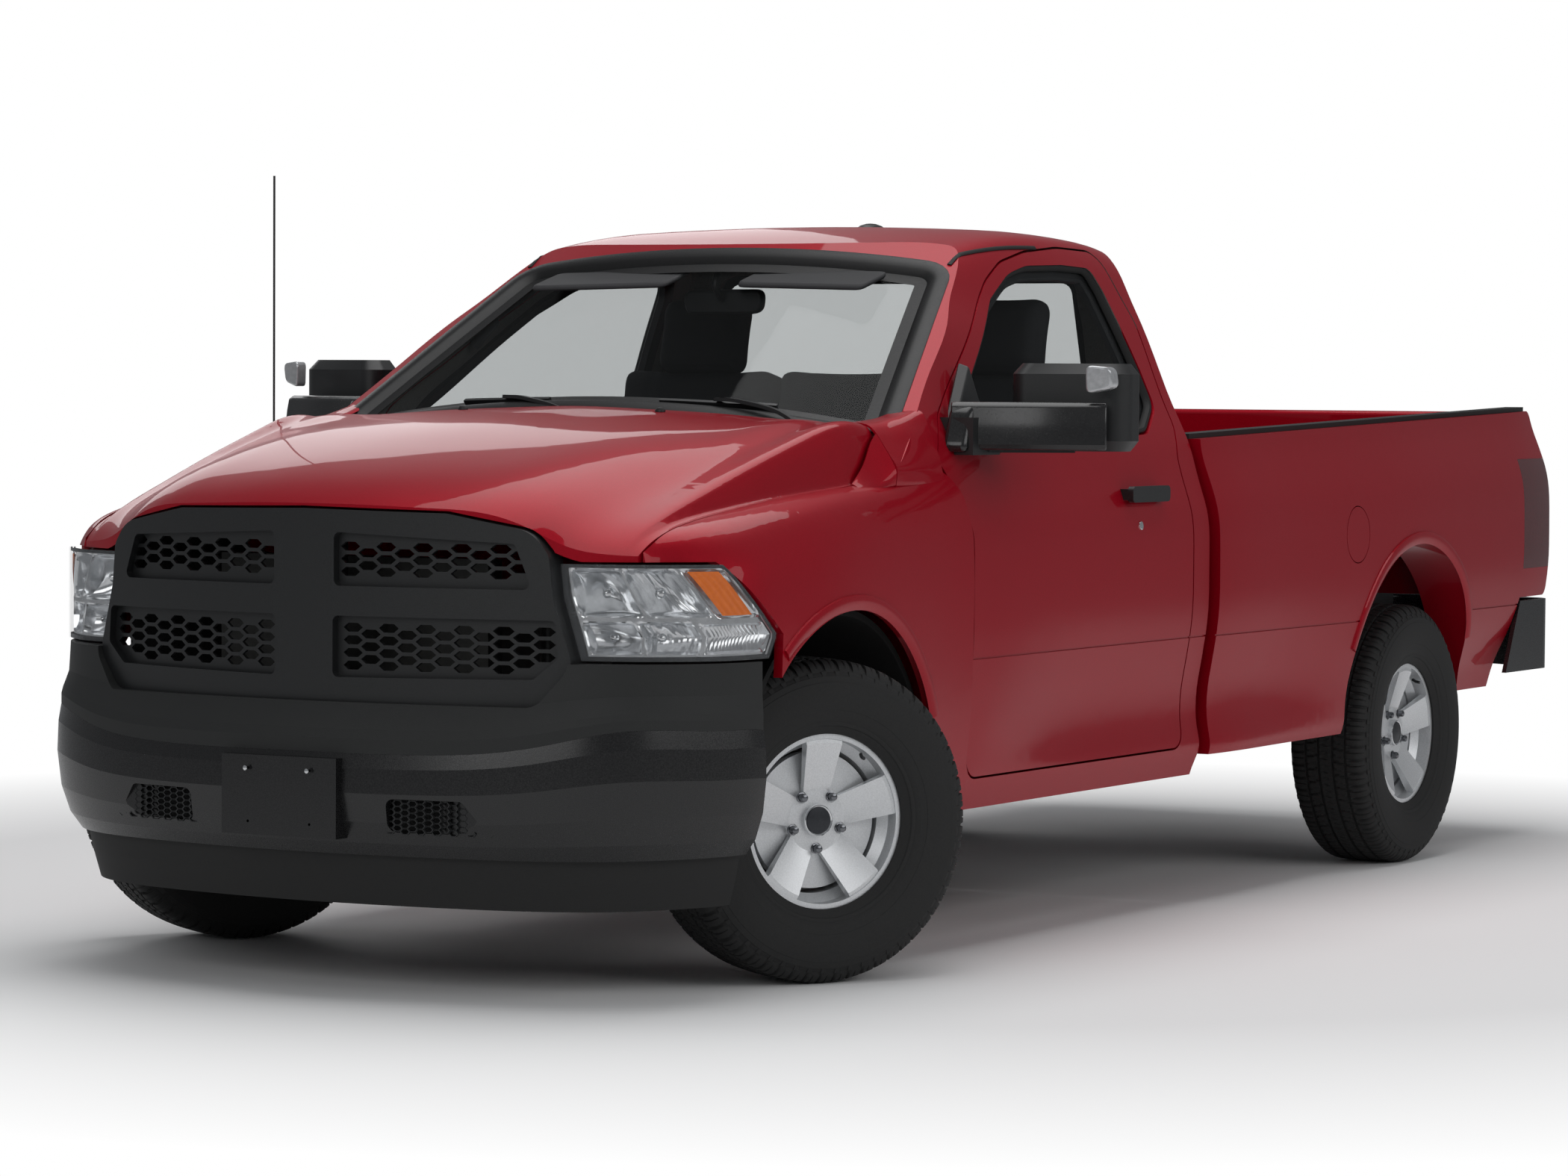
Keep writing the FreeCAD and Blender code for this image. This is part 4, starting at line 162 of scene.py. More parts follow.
# Shares across and up of each strip of the lamp's rim
LAMP_RIM = (
    ((0.0, 0.030), (0.0, 1.0)), ((0.0, 1.0), (0.0, 0.045)), ((0.0, 1.0), (0.965, 1.0)),
    ((0.97, 1.0), (0.0, 1.0)),
)
RIM_GRID, RIM_DEPTH = (40, 20), 0.0045
MARKER_GRID, MARKER_SPAN, MARKER_RISE = (22, 16), (0.70, 0.915), (0.47, 0.93)
MARKER_DEPTH, MARKER_RIB, MARKER_RIB_TURNS = 0.009, 0.0012, 60
BULB_PROFILE = ((-0.016, 0.5), (-0.006, 1.0), (0.004, 0.95), (0.010, 0.6))
LAMP_INNER_LINE = ((0.692, 0.795), (0.644, 0.959), (0.634, 1.060))

# Fog slots and plate bracket
FOG_SLOT_X, FOG_SLOT_Z = (0.285, 0.530), (0.409, 0.482)
FOG_MESH_Y = FRONT_WHEEL_Y - 0.945
FOG_MESH_BOW, FOG_COLUMNS, FOG_ROWS = 0.8, 12, 5
HEX_DEPTH, HEX_SCALES = 0.005, (1.06, 0.80)
FOG_BACK_STEPS, FOG_BACK_GAP, FOG_BACK_EDGE = 8, 0.016, 0.008
# Dark guides behind the grille: their plan, then their foot and height
AIR_GUIDE = ((0.610, -0.765), (0.440, -0.520), (0.436, -0.523), (0.604, -0.768))
AIR_GUIDE_Z = (0.700, 0.420)
PLATE_HOLE_X, PLATE_HOLE_Z = 0.0889, 0.5445
PLATE_FACE_Y = FRONT_WHEEL_Y - 1.005
SCREW_HEAD = ((0.0, 0.0062), (0.0022, 0.0060), (0.0038, 0.0042), (0.0042, 0.0004))

# Tow mirrors: (x, y) for the arm and the glasses, (y, z) for the flat pieces, y behind the wheel's centre
MIRROR_ARM_Z = (1.296, 1.418)
MIRROR_ARM_PATH = ((0.900, 0.690), (1.010, 0.738), (1.130, 0.785), (1.262, 0.852))
MIRROR_SAIL = ((0.835, 1.510), (0.640, 1.300), (0.880, 1.300))
MIRROR_FOOT = ((0.620, 1.290), (0.870, 1.284), (0.870, 1.412), (0.668, 1.412))
MIRROR_LENS_Y = 0.800
# Marker lens: steps from the mirror head's outer upper edge
MIRROR_LENS = ((-0.060, 0, -0.004), (0.002, 0.018, -0.010), (0.004, 0.030, -0.062), (-0.058, 0, -0.078))
MIRROR_GLASS_LINE = ((1.005, 0.905), (1.262, 0.935))
MIRROR_GLASSES = (("main", 1.372, 1.505), ("spotter", 1.305, 1.362))

# Trim of the body and the cab
ROOF_CHANNEL = ((0.662, 1.120), (0.668, 1.350), (0.672, 1.600), (0.672, 1.960))
FRONT_ARCH = (0.470, 0.915)
REAR_ARCH = (0.505, 0.984)
LOCK_PLACE = (1.640, 1.080)
ARCH_LIP_GAP, ARCH_STEPS, ARCH_SWEEP_DEG = 0.017, 41, 68
COWL_ANGLE, COWL_THICKNESS = math.radians(50), Vector((-0.004, 0.0, -0.004))
ROOF_FIXTURE_Y, FIXTURE_RADII = 1.890, (0.035, 0.070)
FIXTURE_LEVELS = ((0.0, 1.0), (0.010, 0.94), (0.020, 0.70), (0.026, 0.30), (0.027, 0.02))
NOZZLE_X, NOZZLE_Y, NOZZLE_RADII = (-0.30, 0.30), 0.240, (0.014, 0.012)
NOZZLE_LEVELS = ((0.0, 1.0), (0.004, 1.0), (0.010, 0.7), (0.012, 0.05))
WIPER_LINES = {
    "left": ((0.188, 0.430), (0.350, 0.442), (0.516, 0.466)),
    "right": ((-0.430, 0.455), (-0.290, 0.438), (-0.147, 0.428)),
}
WIPER_PIVOTS = {"left": (0.640, 0.372, 1.352), "right": (0.010, 0.345, 1.352)}

# Body-coloured corner beside the hood's rear edge: for each section its y, its x places and its heights
COWL_CORNER = (
    (0.333, (0.800, 0.848, 0.874, 0.895, 0.916, 0.937, 0.935),
     (1.366, 1.361, 1.342, 1.314, 1.284, 1.252, 1.210)),
    (0.400, (0.802, 0.856, 0.886, 0.908, 0.928, 0.941, 0.942),
     (1.370, 1.366, 1.342, 1.311, 1.280, 1.250, 1.210)),
    (0.460, (0.806, 0.863, 0.896, 0.916, 0.932, 0.942, 0.946),
     (1.376, 1.376, 1.348, 1.314, 1.281, 1.251, 1.212)),
    (0.520, (0.816, 0.873, 0.902, 0.919, 0.933, 0.942, 0.950),
     (1.390, 1.386, 1.351, 1.315, 1.281, 1.251, 1.214)),
    (0.560, (0.832, 0.883, 0.904, 0.921, 0.934, 0.942, 0.952),
     (1.402, 1.392, 1.352, 1.315, 1.281, 1.251, 1.216)),
)
COWL_RAMP = (
    (0.180, (0.893, 0.895, 0.898, 0.902, 0.907, 0.914, 0.920),
     (1.215, 1.214, 1.213, 1.211, 1.208, 1.203, 1.198)),
    (0.250, (0.886, 0.890, 0.896, 0.903, 0.911, 0.919, 0.924),
     (1.262, 1.256, 1.247, 1.236, 1.224, 1.212, 1.201)),
    (0.300, (0.879, 0.886, 0.897, 0.909, 0.920, 0.928, 0.928),
     (1.316, 1.303, 1.283, 1.262, 1.242, 1.224, 1.206)),
    (0.332, (0.876, 0.886, 0.901, 0.916, 0.929, 0.936, 0.934),
     (1.339, 1.326, 1.304, 1.282, 1.260, 1.240, 1.211)),
)

# Tail
# Handle of the tailgate: corners as (x, z), step from the gate, rounding, depth, finish and bevel
GATE_HANDLE = {
    "bezel": (
        ((-0.150, 1.175), (0.150, 1.175), (0.150, 1.270), (-0.150, 1.270)),
        -0.002, 0.016, 0.007, "trim_black", 0.003,
    ),
    "lever": (
        ((-0.095, 1.190), (0.095, 1.190), (0.095, 1.245), (-0.095, 1.245)),
        0.003, 0.010, 0.006, "mirror_gloss", 0.0025,
    ),
}
# A lens from (x, z) to (x, z); a pad's x, inset, width and depth
REVERSE_LENS = (0.920, 0.985, 0.968, 1.060)
STEP_PAD = (0.300, 0.032, 0.350, 0.090)

# Seat and cabin
SEAT_PARTS = (("left", 0.235, 0.745), ("middle", -0.225, 0.225), ("right", -0.745, -0.235))
SEAT_FRONT_Y, SEAT_DEPTH, SEAT_TOP, SEAT_THICKNESS = 1.232, 0.500, 0.862, 0.190
SEAT_BACK_Y, SEAT_BACK_Z = 1.738, 1.178
SEAT_ANGLE, SEAT_LOOK = math.radians(60), ("seat_cloth", "seat_cloth")
SEAT_GAP, SEAT_ROUNDING, SEAT_PULL, SEAT_FILL = 0.004, 0.045, 0.010, 0.8
CUSHION_CROWN, BACK_CROWN = 0.022, 0.018
# Seams and hems of a pad, as shares of its half sizes, and the depth they are sunk in
SEAM_WIDTH, HEM_PLACE, HEM_WIDTH, SEAM_DEPTH = 0.022, 0.80, 0.03, 0.007
HEAD_REST_HALF = (0.142, 0.112, 0.050)
SEAT_BACK_HEIGHT, SEAT_BACK_THICKNESS, SEAT_LEAN_DEG = 0.640, 0.150, 12.0
SEAT_PLINTH = ((-0.60, 1.240, 0.640), (0.60, 1.740, 0.700))
HEAD_REST_X, HEAD_REST_Y, HEAD_REST_Z = 0.480, 1.778, 1.592
CABIN_MIRROR = (-0.044, 1.130, 1.678)
VISOR_CORNERS = ((0.110, 1.090, 1.772), (0.520, 1.050, 1.762), (0.520, 0.900, 1.722), (0.110, 0.940, 1.732))
PILLAR_HANDLE = (
    (-0.735, 0.950, 1.560), (-0.712, 0.955, 1.585), (-0.700, 0.992, 1.624), (-0.716, 0.975, 1.640),
)
CABIN_CENTRE = (0.0, 1.15 + FRONT_WHEEL_Y, 1.20)
CABIN_HALF_WIDTH, CABIN_BELT, CABIN_LEAN = 0.885, 1.25, 0.30
# Middle, half width, rise and depth of the hood over the instruments
INSTRUMENT_HOOD = (0.43, 0.80, 1.318, 0.19, 0.052, 0.17)

# Stage
WHITE = (1.0, 1.0, 1.0, 1.0)
FLOOR_RADIUS, FLOOR_COLOUR, FLOOR_FADE = 60.0, (0.95, 0.95, 0.95, 1.0), (3.0, 5.0)
WORLD_COLOUR, WORLD_STRENGTH = (0.75, 0.77, 0.8, 1.0), 0.27
# Each lamp's place, the place it faces, its size and its power
LAMPS = (
    ("lamp_top", (0.0, 0.0, 7.0), (0.0, 0.0, 0.5), (5.0, 9.0), 300.0),
    ("lamp_side", (8.5, -1.0, 4.2), (0.0, 0.0, 0.9), (9.0, 3.0), 150.0),
    ("lamp_front", (1.0, -9.5, 4.0), (0.0, -2.0, 0.8), (6.0, 3.0), 110.0),
    ("lamp_back", (-7.0, 6.0, 4.5), (0.0, 0.0, 0.9), (6.0, 3.0), 90.0),
)


def colour(red, green, blue):
    """An sRGB colour in bytes as Blender's linear numbers."""
    out = []
    for part in (red, green, blue):
        share = part / 255
        out.append(share / 12.92 if share <= 0.04045 else ((share + 0.055) / 1.055) ** 2.4)
    return (*out, 1.0)


def blank(name):
    """A new material with its Principled shader."""
    material = bpy.data.materials.new(name)
    material.use_nodes = True
    tree = material.node_tree
    return material, tree, tree.nodes["Principled BSDF"]


def set_values(shader, **values):
    for name, value in values.items():
        shader.inputs[name.replace("_", " ")].default_value = value


def add_node(tree, kind, inputs=(), **settings):
    """A shader node with its settings; each input is given a value or a socket to link."""
    node = tree.nodes.new("ShaderNode" + kind)
    for name, value in settings.items():
        setattr(node, name, value)
    for key, value in dict(inputs).items():
        if isinstance(value, bpy.types.NodeSocket):
            tree.links.new(value, node.inputs[key])
        else:
            node.inputs[key].default_value = value
    return node.outputs


def noise(tree, scale, detail=3.0):
    """A noise that stays with the object it covers."""
    place = add_node(tree, "TexCoord")["Object"]
    return add_node(
        tree, "TexNoise", {"Scale": scale, "Detail": detail, "Roughness": 0.5, "Vector": place},
    )["Fac"]


def ramp(tree, source, low, high, start=0.3, end=0.7):
    """A value that runs from low to high as the source goes from start to end."""
    ends = {"From Min": start, "From Max": end, "To Min": low, "To Max": high}
    return add_node(tree, "MapRange", {**ends, "Value": source})["Result"]


def mix_colours(tree, factor, first, second):
    return add_node(tree, "Mix", {"Factor": factor, "A": first, "B": second}, data_type="RGBA")["Result"]


def speckled(tree, texture, first, second):
    """A colour that wanders between two others with a texture."""
    return mix_colours(tree, ramp(tree, texture, 0.0, 1.0), first, second)


def maths(tree, operation, *values):
    """A number worked out from up to three sockets or numbers."""
    return add_node(tree, "Math", enumerate(values), operation=operation)["Value"]


def parted(tree, source):
    return add_node(tree, "SeparateXYZ", {"Vector": source})


def inside_cab(tree, place, facing):
    """One on the cab's faces that look inward, and zero on its skin."""
    away = add_node(tree, "VectorMath", {0: place, 1: CABIN_CENTRE}, operation="SUBTRACT")["Vector"]
    turned = add_node(tree, "VectorMath", {0: away, 1: facing}, operation="DOT_PRODUCT")["Value"]
    split = parted(tree, place)
    aside = maths(tree, "ABSOLUTE", split["X"])
    lean = maths(tree, "MULTIPLY_ADD", split["Z"], -CABIN_LEAN, CABIN_HALF_WIDTH + CABIN_LEAN * CABIN_BELT)
    limit = maths(tree, "MINIMUM", lean, CABIN_HALF_WIDTH)
    inward, near = maths(tree, "LESS_THAN", turned, -0.02), maths(tree, "LESS_THAN", aside, limit)
    return maths(tree, "MULTIPLY", inward, near)


def under_bed(tree, place, facing):
    """One on the bed's faces that look down or outward."""
    turned = maths(tree, "MULTIPLY", parted(tree, place)["X"], parted(tree, facing)["X"])
    down = maths(tree, "LESS_THAN", parted(tree, facing)["Z"], -0.3)
    return maths(tree, "MAXIMUM", maths(tree, "GREATER_THAN", turned, 0.05), down)


def paint_layers(name, where=None, dark=None, light=None):
    """Deep red metallic paint under clear coat, with another bare finish where a mask says so."""
    material, tree, shader = blank(name)
    tone = speckled(tree, noise(tree, 900.0, 1.0), PAINT_DARK, PAINT_LIGHT)
    set_values(shader, Metallic=PAINT_METAL, Roughness=PAINT_ROUGH, Specular_IOR_Level=0.05)
    set_values(shader, Coat_Weight=PAINT_COAT, Coat_Roughness=0.03)
    if where is None:
        tree.links.new(tone, shader.inputs["Base Color"])
        return material
    source = add_node(tree, "TexCoord")
    mask = where(tree, source["Object"], source["Normal"])
    bare = speckled(tree, noise(tree, 420.0), dark, light)
    tree.links.new(mix_colours(tree, mask, tone, bare), shader.inputs["Base Color"])
    levels = (PAINT_METAL, PAINT_ROUGH, PAINT_COAT), (0.0, BARE_ROUGH, 0.0)
    for socket, value, other in zip(("Metallic", "Roughness", "Coat Weight"), *levels):
        tree.links.new(maths(tree, "MULTIPLY_ADD", mask, other - value, value), shader.inputs[socket])
    return material


def grained(name, first, second, texture_scale, detail, roughness, spread):
    """A material whose colour and roughness wander with a fine grain."""
    material, tree, shader = blank(name)
    texture = noise(tree, texture_scale, detail)
    tree.links.new(speckled(tree, texture, first, second), shader.inputs["Base Color"])
    tree.links.new(ramp(tree, texture, roughness, roughness + spread), shader.inputs["Roughness"])
    return material, tree, shader, texture


def plastic_material(name, base, roughness, grain, depth, gloss=0.4):
    """Moulded plastic: a fine grain that breaks its sheen."""
    lighter = tuple(min(part * 1.35 + 0.002, 1.0) for part in base[:3]) + (1.0,)
    material, tree, shader, texture = grained(name, base, lighter, grain, 4.0, roughness, 0.12)
    set_values(shader, Specular_IOR_Level=gloss)
    relief = add_node(tree, "Bump", {"Strength": 0.35, "Distance": depth, "Height": texture})["Normal"]
    tree.links.new(relief, shader.inputs["Normal"])
    return material


def metal_material(name, base, roughness, grain=60.0, metallic=1.0):
    """Metal whose tone and polish wander a little."""
    darker = tuple(part * 0.82 for part in base[:3]) + (1.0,)
    material, _, shader, _ = grained(name, darker, base, grain, 5.0, roughness, 0.08)
    set_values(shader, Metallic=metallic)
    return material


def mixed_surface(tree, share, first, second, output):
    """Two shaders mixed by a share, as the tree's surface."""
    mix = add_node(tree, "MixShader", {0: share, 1: first, 2: second})["Shader"]
    tree.links.new(mix, output.inputs["Surface"])


def glass_material(name, tint, film, sheen=0.10):
    """Thin glass: what is behind it shows through its tint, under a light sheen."""
    material, tree, shader = blank(name)
    set_values(shader, Base_Color=film, Roughness=0.03, Specular_IOR_Level=0.6)
    clear = add_node(tree, "BsdfTransparent", {"Color": tint})["BSDF"]
    mixed_surface(tree, sheen, clear, shader.outputs["BSDF"], tree.nodes["Material Output"])
    return material


PAINT_DARK, PAINT_LIGHT = colour(142, 2, 20), colour(170, 6, 32)
PAINT_METAL, PAINT_ROUGH, PAINT_COAT, BARE_ROUGH = 0.35, 0.42, 0.42, 0.7
# Finishes: colour, roughness and grain, then the grain's depth and the gloss, or the share of metal
PLASTICS = {
    "trim_black": ((24, 25, 26), 0.34, 420.0, 0.0004, 0.45),
    "cover_black": ((31, 32, 32), 0.52, 700.0, 0.0012, 0.35),
    "bumper_black": ((18, 18, 19), 0.20, 260.0, 0.0002, 0.5),
    "dam_black": ((30, 30, 30), 0.62, 500.0, 0.0008, 0.3),
    "liner_black": ((22, 22, 22), 0.75, 300.0, 0.001, 0.2),
    "cap_black": ((36, 36, 36), 0.6, 600.0, 0.0008, 0.3),
    "cabin_grey": ((64, 65, 67), 0.6, 500.0, 0.0008, 0.3),
    "tyre_rubber": ((34, 34, 34), 0.66, 180.0, 0.0006, 0.3),
    "seat_cloth": ((52, 52, 54), 0.85, 900.0, 0.001, 0.1),
    "lamp_amber": ((236, 112, 8), 0.15, 150.0, 0.0002, 0.6),
    "mirror_gloss": ((20, 20, 21), 0.16, 300.0, 0.0002, 0.6),
    "band_black": ((12, 12, 13), 0.38, 200.0, 0.0001, 0.3),
    "seal_rubber": ((20, 20, 20), 0.55, 500.0, 0.0004, 0.3),
    "cabin_dark": ((44, 44, 46), 0.6, 600.0, 0.0006, 0.3),
    "lamp_red": ((74, 4, 10), 0.10, 200.0, 0.0001, 0.6),
}
METALS = {
    "wheel_alloy": ((228, 230, 232), 0.34, 300.0, 0.6),
    "frame_steel": ((52, 52, 52), 0.5, 90.0, 0.4),
    "cast_metal": ((96, 96, 94), 0.5, 90.0, 0.7),
    "bright_metal": ((226, 228, 230), 0.07, 20.0),
    "marker_clear": ((190, 192, 194), 0.16, 90.0, 0.5),
    "lamp_reflector": ((240, 242, 244), 0.12, 30.0, 0.85),
    "lamp_frame": ((96, 98, 100), 0.2, 60.0, 0.8),
    "mirror_silver": ((220, 222, 224), 0.02, 5.0),
    "dark_chrome": ((120, 122, 126), 0.14, 40.0),
    "cap_face": ((58, 60, 64), 0.32, 120.0, 0.6),
    "brake_iron": ((118, 116, 112), 0.38, 260.0, 0.9),
}
MATERIALS = {
    "paint_red": paint_layers("paint_red"),
    "paint_red_cab": paint_layers("paint_red_cab", inside_cab, colour(92, 90, 88), colour(112, 110, 107)),
    "paint_red_bed": paint_layers("paint_red_bed", under_bed, colour(18, 18, 18), colour(28, 28, 28)),
    "clear_glass": glass_material("clear_glass", (0.89, 0.90, 0.90, 1.0), colour(30, 32, 32)),
    "lamp_lens": glass_material("lamp_lens", (0.98, 0.98, 0.98, 1.0), colour(120, 122, 124), 0.06),
}
for name, (shade, *rest) in PLASTICS.items():
    MATERIALS[name] = plastic_material(name, colour(*shade), *rest)
for name, (shade, *rest) in METALS.items():
    MATERIALS[name] = metal_material(name, colour(*shade), *rest)
NODE_FINISHES = {
    "paint_red": "front_fenders hood bed_sides tailgate fuel_door",
    "paint_red_cab": "cab_shell door_left door_right",
    "paint_red_bed": "load_bed",
    "clear_glass": "cab_glass door_glass_left door_glass_right",
    "liner_black": "wheel_liners fuel_tank cowl_panel",
    "trim_black": "grille antenna door_handle_left door_handle_right mirror_left mirror_right",
    "bright_metal": "headlamps",
    "bumper_black": "front_bumper rear_bumper",
    "cover_black": "bumper_cover",
    "dam_black": "air_dam",
    "frame_steel": "frame front_suspension rear_suspension",
    "cast_metal": "engine driveline radiator exhaust knuckle_left knuckle_right",
    "tyre_rubber": "spare_wheel tyre_front_left tyre_front_right tyre_rear_left tyre_rear_right",
    "wheel_alloy": "rim_front_left rim_front_right rim_rear_left rim_rear_right",
    "cabin_grey": "dashboard steering_wheel",
    "seat_cloth": "bench_seat",
    "cap_black": "bed_rail_caps",
    "lamp_red": "tail_lamps",
}


def dress_nodes():
    """Gives every carried-over solid its finish and smooth shading between its sharp edges."""
    finish_of = {name: finish for finish, names in NODE_FINISHES.items() for name in names.split()}
    for name, node in NODES.items():
        material = MATERIALS[finish_of[name]]
        for slot in node.material_slots:
            slot.material = material
        if not node.material_slots:
            node.data.materials.append(material)
        node.data.shade_smooth()
        node.data.set_sharp_from_angle(angle=SMOOTH_ANGLE)


def joined(name, part, material, slot, body="root", smooth=SMOOTH_ANGLE, mirror=False):
    """A mesh piece that rides a body, mirrored to the other side where asked."""
    vertices, faces = part
    mesh = bpy.data.meshes.new(name)
    flip = -1 if mirror else 1
    mesh.from_pydata([(v[0] * flip, v[1], v[2]) for v in vertices], [], faces)
    shell = bmesh.new()
    shell.from_mesh(mesh)
    bmesh.ops.remove_doubles(shell, verts=shell.verts, dist=WELD_REACH)
    bmesh.ops.recalc_face_normals(shell, faces=shell.faces)
    shell.to_mesh(mesh)
    shell.free()
    mesh.materials.append(MATERIALS[material])
    if smooth:
        mesh.shade_smooth()
        mesh.set_sharp_from_angle(angle=smooth)
    piece = bpy.data.objects.new(name, mesh)
    bpy.context.scene.collection.objects.link(piece)
    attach(piece, body)
    return piece


def grid_faces(rows, columns, close_rows=False, close_columns=False):
    """Quads of a grid of points, kept row by row."""
    faces = []
    for row in range(rows if close_rows else rows - 1):
        for column in range(columns if close_columns else columns - 1):
            next_row = (row + 1) % rows
            next_column = (column + 1) % columns
            here, there = row * columns, next_row * columns
            faces.append((here + column, here + next_column, there + next_column, there + column))
    return faces


def gather(*parts):
    """Several lists of vertices and faces as one."""
    vertices, faces = [], []
    for some, theirs in parts:
        base = len(vertices)
        vertices.extend(some)
        faces.extend(tuple(base + index for index in face) for face in theirs)
    return vertices, faces


def moved(part, matrix):
    """A part's vertices put through a matrix."""
    vertices, faces = part
    return [matrix @ Vector(v) for v in vertices], faces


def revolved(profile, count, close=False):
    """A profile of (along, radius) turned about the local X axis."""
    vertices = []
    for index in range(count):
        angle = math.tau * index / count
        for along, radius in profile:
            vertices.append(Vector((along, math.sin(angle) * radius, math.cos(angle) * radius)))
    return vertices, grid_faces(count, len(profile), True, close)


def swept(path, section, closed=False, normal=UP):
    """A closed section of (aside, above) carried along a path of points."""
    vertices = []
    count = len(path)
    for index, point in enumerate(path):
        before = path[index - 1] if index or closed else point
        after = path[(index + 1) % count] if index < count - 1 or closed else point
        way = (after - before).normalized()
        above = normal[index] if isinstance(normal, list) else normal
        aside = way.cross(above).normalized()
        above = aside.cross(way).normalized()
        for across, high in section:
            vertices.append(point + aside * across + above * high)
    faces = grid_faces(count, len(section), closed, True)
    if not closed:
        faces.append(tuple(range(len(section))))
        faces.append(tuple(range((count - 1) * len(section), count * len(section))))
    return vertices, faces


def arc(count, first_deg, last_deg):
    """Sines and cosines at even steps from one angle to another."""
    angles = [
        math.radians(first_deg + (last_deg - first_deg) * step / (count - 1))
        for step in range(count)
    ]
    return [(math.sin(angle), math.cos(angle)) for angle in angles]


def dome(spot, radii, levels, count):
    """A low dome about a place: rings, each with its height and its share of the two radii."""
    vertices = []
    for height, share in levels:
        for step in range(count):
            angle = math.tau * step / count
            aside, along = math.sin(angle) * radii[0] * share, math.cos(angle) * radii[1] * share
            vertices.append(spot + Vector((aside, along, height)))
    return vertices, grid_faces(len(levels), count, False, True)


def ring_section(radius, high=None, count=10):
    """A round or oval section for swept pieces."""
    high = high or radius
    turns = [math.tau * index / count for index in range(count)]
    return [(math.cos(turn) * radius, math.sin(turn) * high) for turn in turns]


def prism(outline, depth):
    """A flat outline of 3-D points pushed along a vector."""
    count = len(outline)
    vertices = [Vector(p) for p in outline] + [Vector(p) + depth for p in outline]
    faces = [tuple(range(count)), tuple(range(count, 2 * count))]
    for index in range(count):
        after = (index + 1) % count
        faces.append((index, after, count + after, count + index))
    return vertices, faces


def thick_sheet(outer, inner, rows, columns):
    """Two grids of points, one behind the other, closed round their borders."""
    count = rows * columns
    quads = grid_faces(rows, columns)
    faces = list(quads) + [tuple(count + index for index in reversed(quad)) for quad in quads]
    border = list(range(columns)) + [row * columns + columns - 1 for row in range(1, rows)]
    border += [(rows - 1) * columns + column for column in range(columns - 2, -1, -1)]
    border += [row * columns for row in range(rows - 2, 0, -1)]
    for here, after in zip(border, border[1:] + border[:1]):
        faces.append((here, after, count + after, count + here))
    return outer + inner, faces


def rounded_outline(corners, radius, steps=5):
    """An outline in a plane with its corners turned round."""
    points = []
    count = len(corners)
    for index in range(count):
        here = Vector(corners[index])
        before = Vector(corners[index - 1]) - here
        after = Vector(corners[(index + 1) % count]) - here
        reach = min(radius, before.length * 0.49, after.length * 0.49)
        start = here + before.normalized() * reach
        finish = here + after.normalized() * reach
        for step in range(steps + 1):
            share = step / steps
            points.append(
                start * (1 - share) ** 2 + here * 2 * share * (1 - share) + finish * share ** 2
            )
    return points


def soften(piece, width, segments=2):
    """Rounds the piece's sharp edges."""
    bevel = piece.modifiers.new("soften", "BEVEL")
    bevel.width = width
    bevel.segments = segments
    bevel.limit_method = "ANGLE"
    bevel.angle_limit = BEVEL_ANGLE
    return piece


def face_loops(name, direction, spacing, least=0.35):
    """The outlines of a node's faces that look a given way: evenly spaced points with their normals."""
    shell = bmesh.new()
    shell.from_mesh(NODES[name].data)
    bmesh.ops.remove_doubles(shell, verts=shell.verts, dist=WELD_REACH)
    chosen = {face for face in shell.faces if face.normal.dot(direction) > least}
    links, normals = {}, {}
    for edge in shell.edges:
        near = [face for face in edge.link_faces if face in chosen]
        if len(near) != 1:
            continue
        face = near[0]
        for loop in face.loops:
            if loop.edge == edge:
                start, finish = loop.vert, loop.link_loop_next.vert
                links[start.index] = finish.index
                normals[start.index] = face.normal.copy()
    places = {vert.index: vert.co.copy() for vert in shell.verts}
    shell.free()
    loops, left = [], set(links)
    while left:
        first = min(left)
        chain = []
        here = first
        while here in left:
            left.discard(here)
            chain.append(here)
            here = links[here]
        points = [places[index] for index in chain]
        length = sum((points[i] - points[i - 1]).length for i in range(len(points)))
        if length < spacing * 8:
            continue
        count = int(length / spacing)
        even, slopes, walked, target = [], [], 0.0, 0.0
        for index in range(len(points)):
            after = (index + 1) % len(points)
            span = (points[after] - points[index]).length
            while len(even) < count and target <= walked + span:
                share = (target - walked) / span if span else 0.0
                even.append(points[index].lerp(points[after], share))
                slopes.append(normals[chain[index]].lerp(normals[chain[after]], share).normalized())
                target += length / count
            walked += span
        loops.append((even, slopes))
    return sorted(loops, key=lambda loop: -len(loop[0]))


def wheel_matrix(joint, outward):
    """Place of a wheel: its own X looks outward and its own Z up."""
    ahead = UP.cross(outward)
    turned = Matrix((outward, ahead, UP)).transposed().to_4x4()
    return Matrix.Translation(JOINTS[joint]["pos_m"]) @ turned


def tread_depth(across, along):
    """How deep the tread is cut at a place across it, in metres, and along one pitch, as a share."""
    side = 0.5 if across > 0 else 0.0
    aside = abs(across)
    if any(abs(across - place) < GROOVE_HALF_WIDTH * 0.8 for place in GROOVE_PLACES):
        return TREAD_DEPTH
    if aside > SHOULDER_EDGE:
        place = (along + side) % 1.0
        deep = TREAD_DEPTH * 0.85 if place < 0.14 else 0.0
        if 0.55 < place < 0.60 and aside < SIPE_END:
            deep = TREAD_DEPTH * 0.45
    elif aside > BLOCK_EDGE:
        place = (along + side + aside * 6.0) % 1.0
        deep = TREAD_DEPTH * 0.7 if place < 0.12 else 0.0
        if 0.5 < place < 0.56:
            deep = TREAD_DEPTH * 0.4
    else:
        place = (along + across * 9.0) % 1.0
        deep = TREAD_DEPTH * 0.45 if place < 0.07 or 0.5 < place < 0.56 else 0.0
    return deep


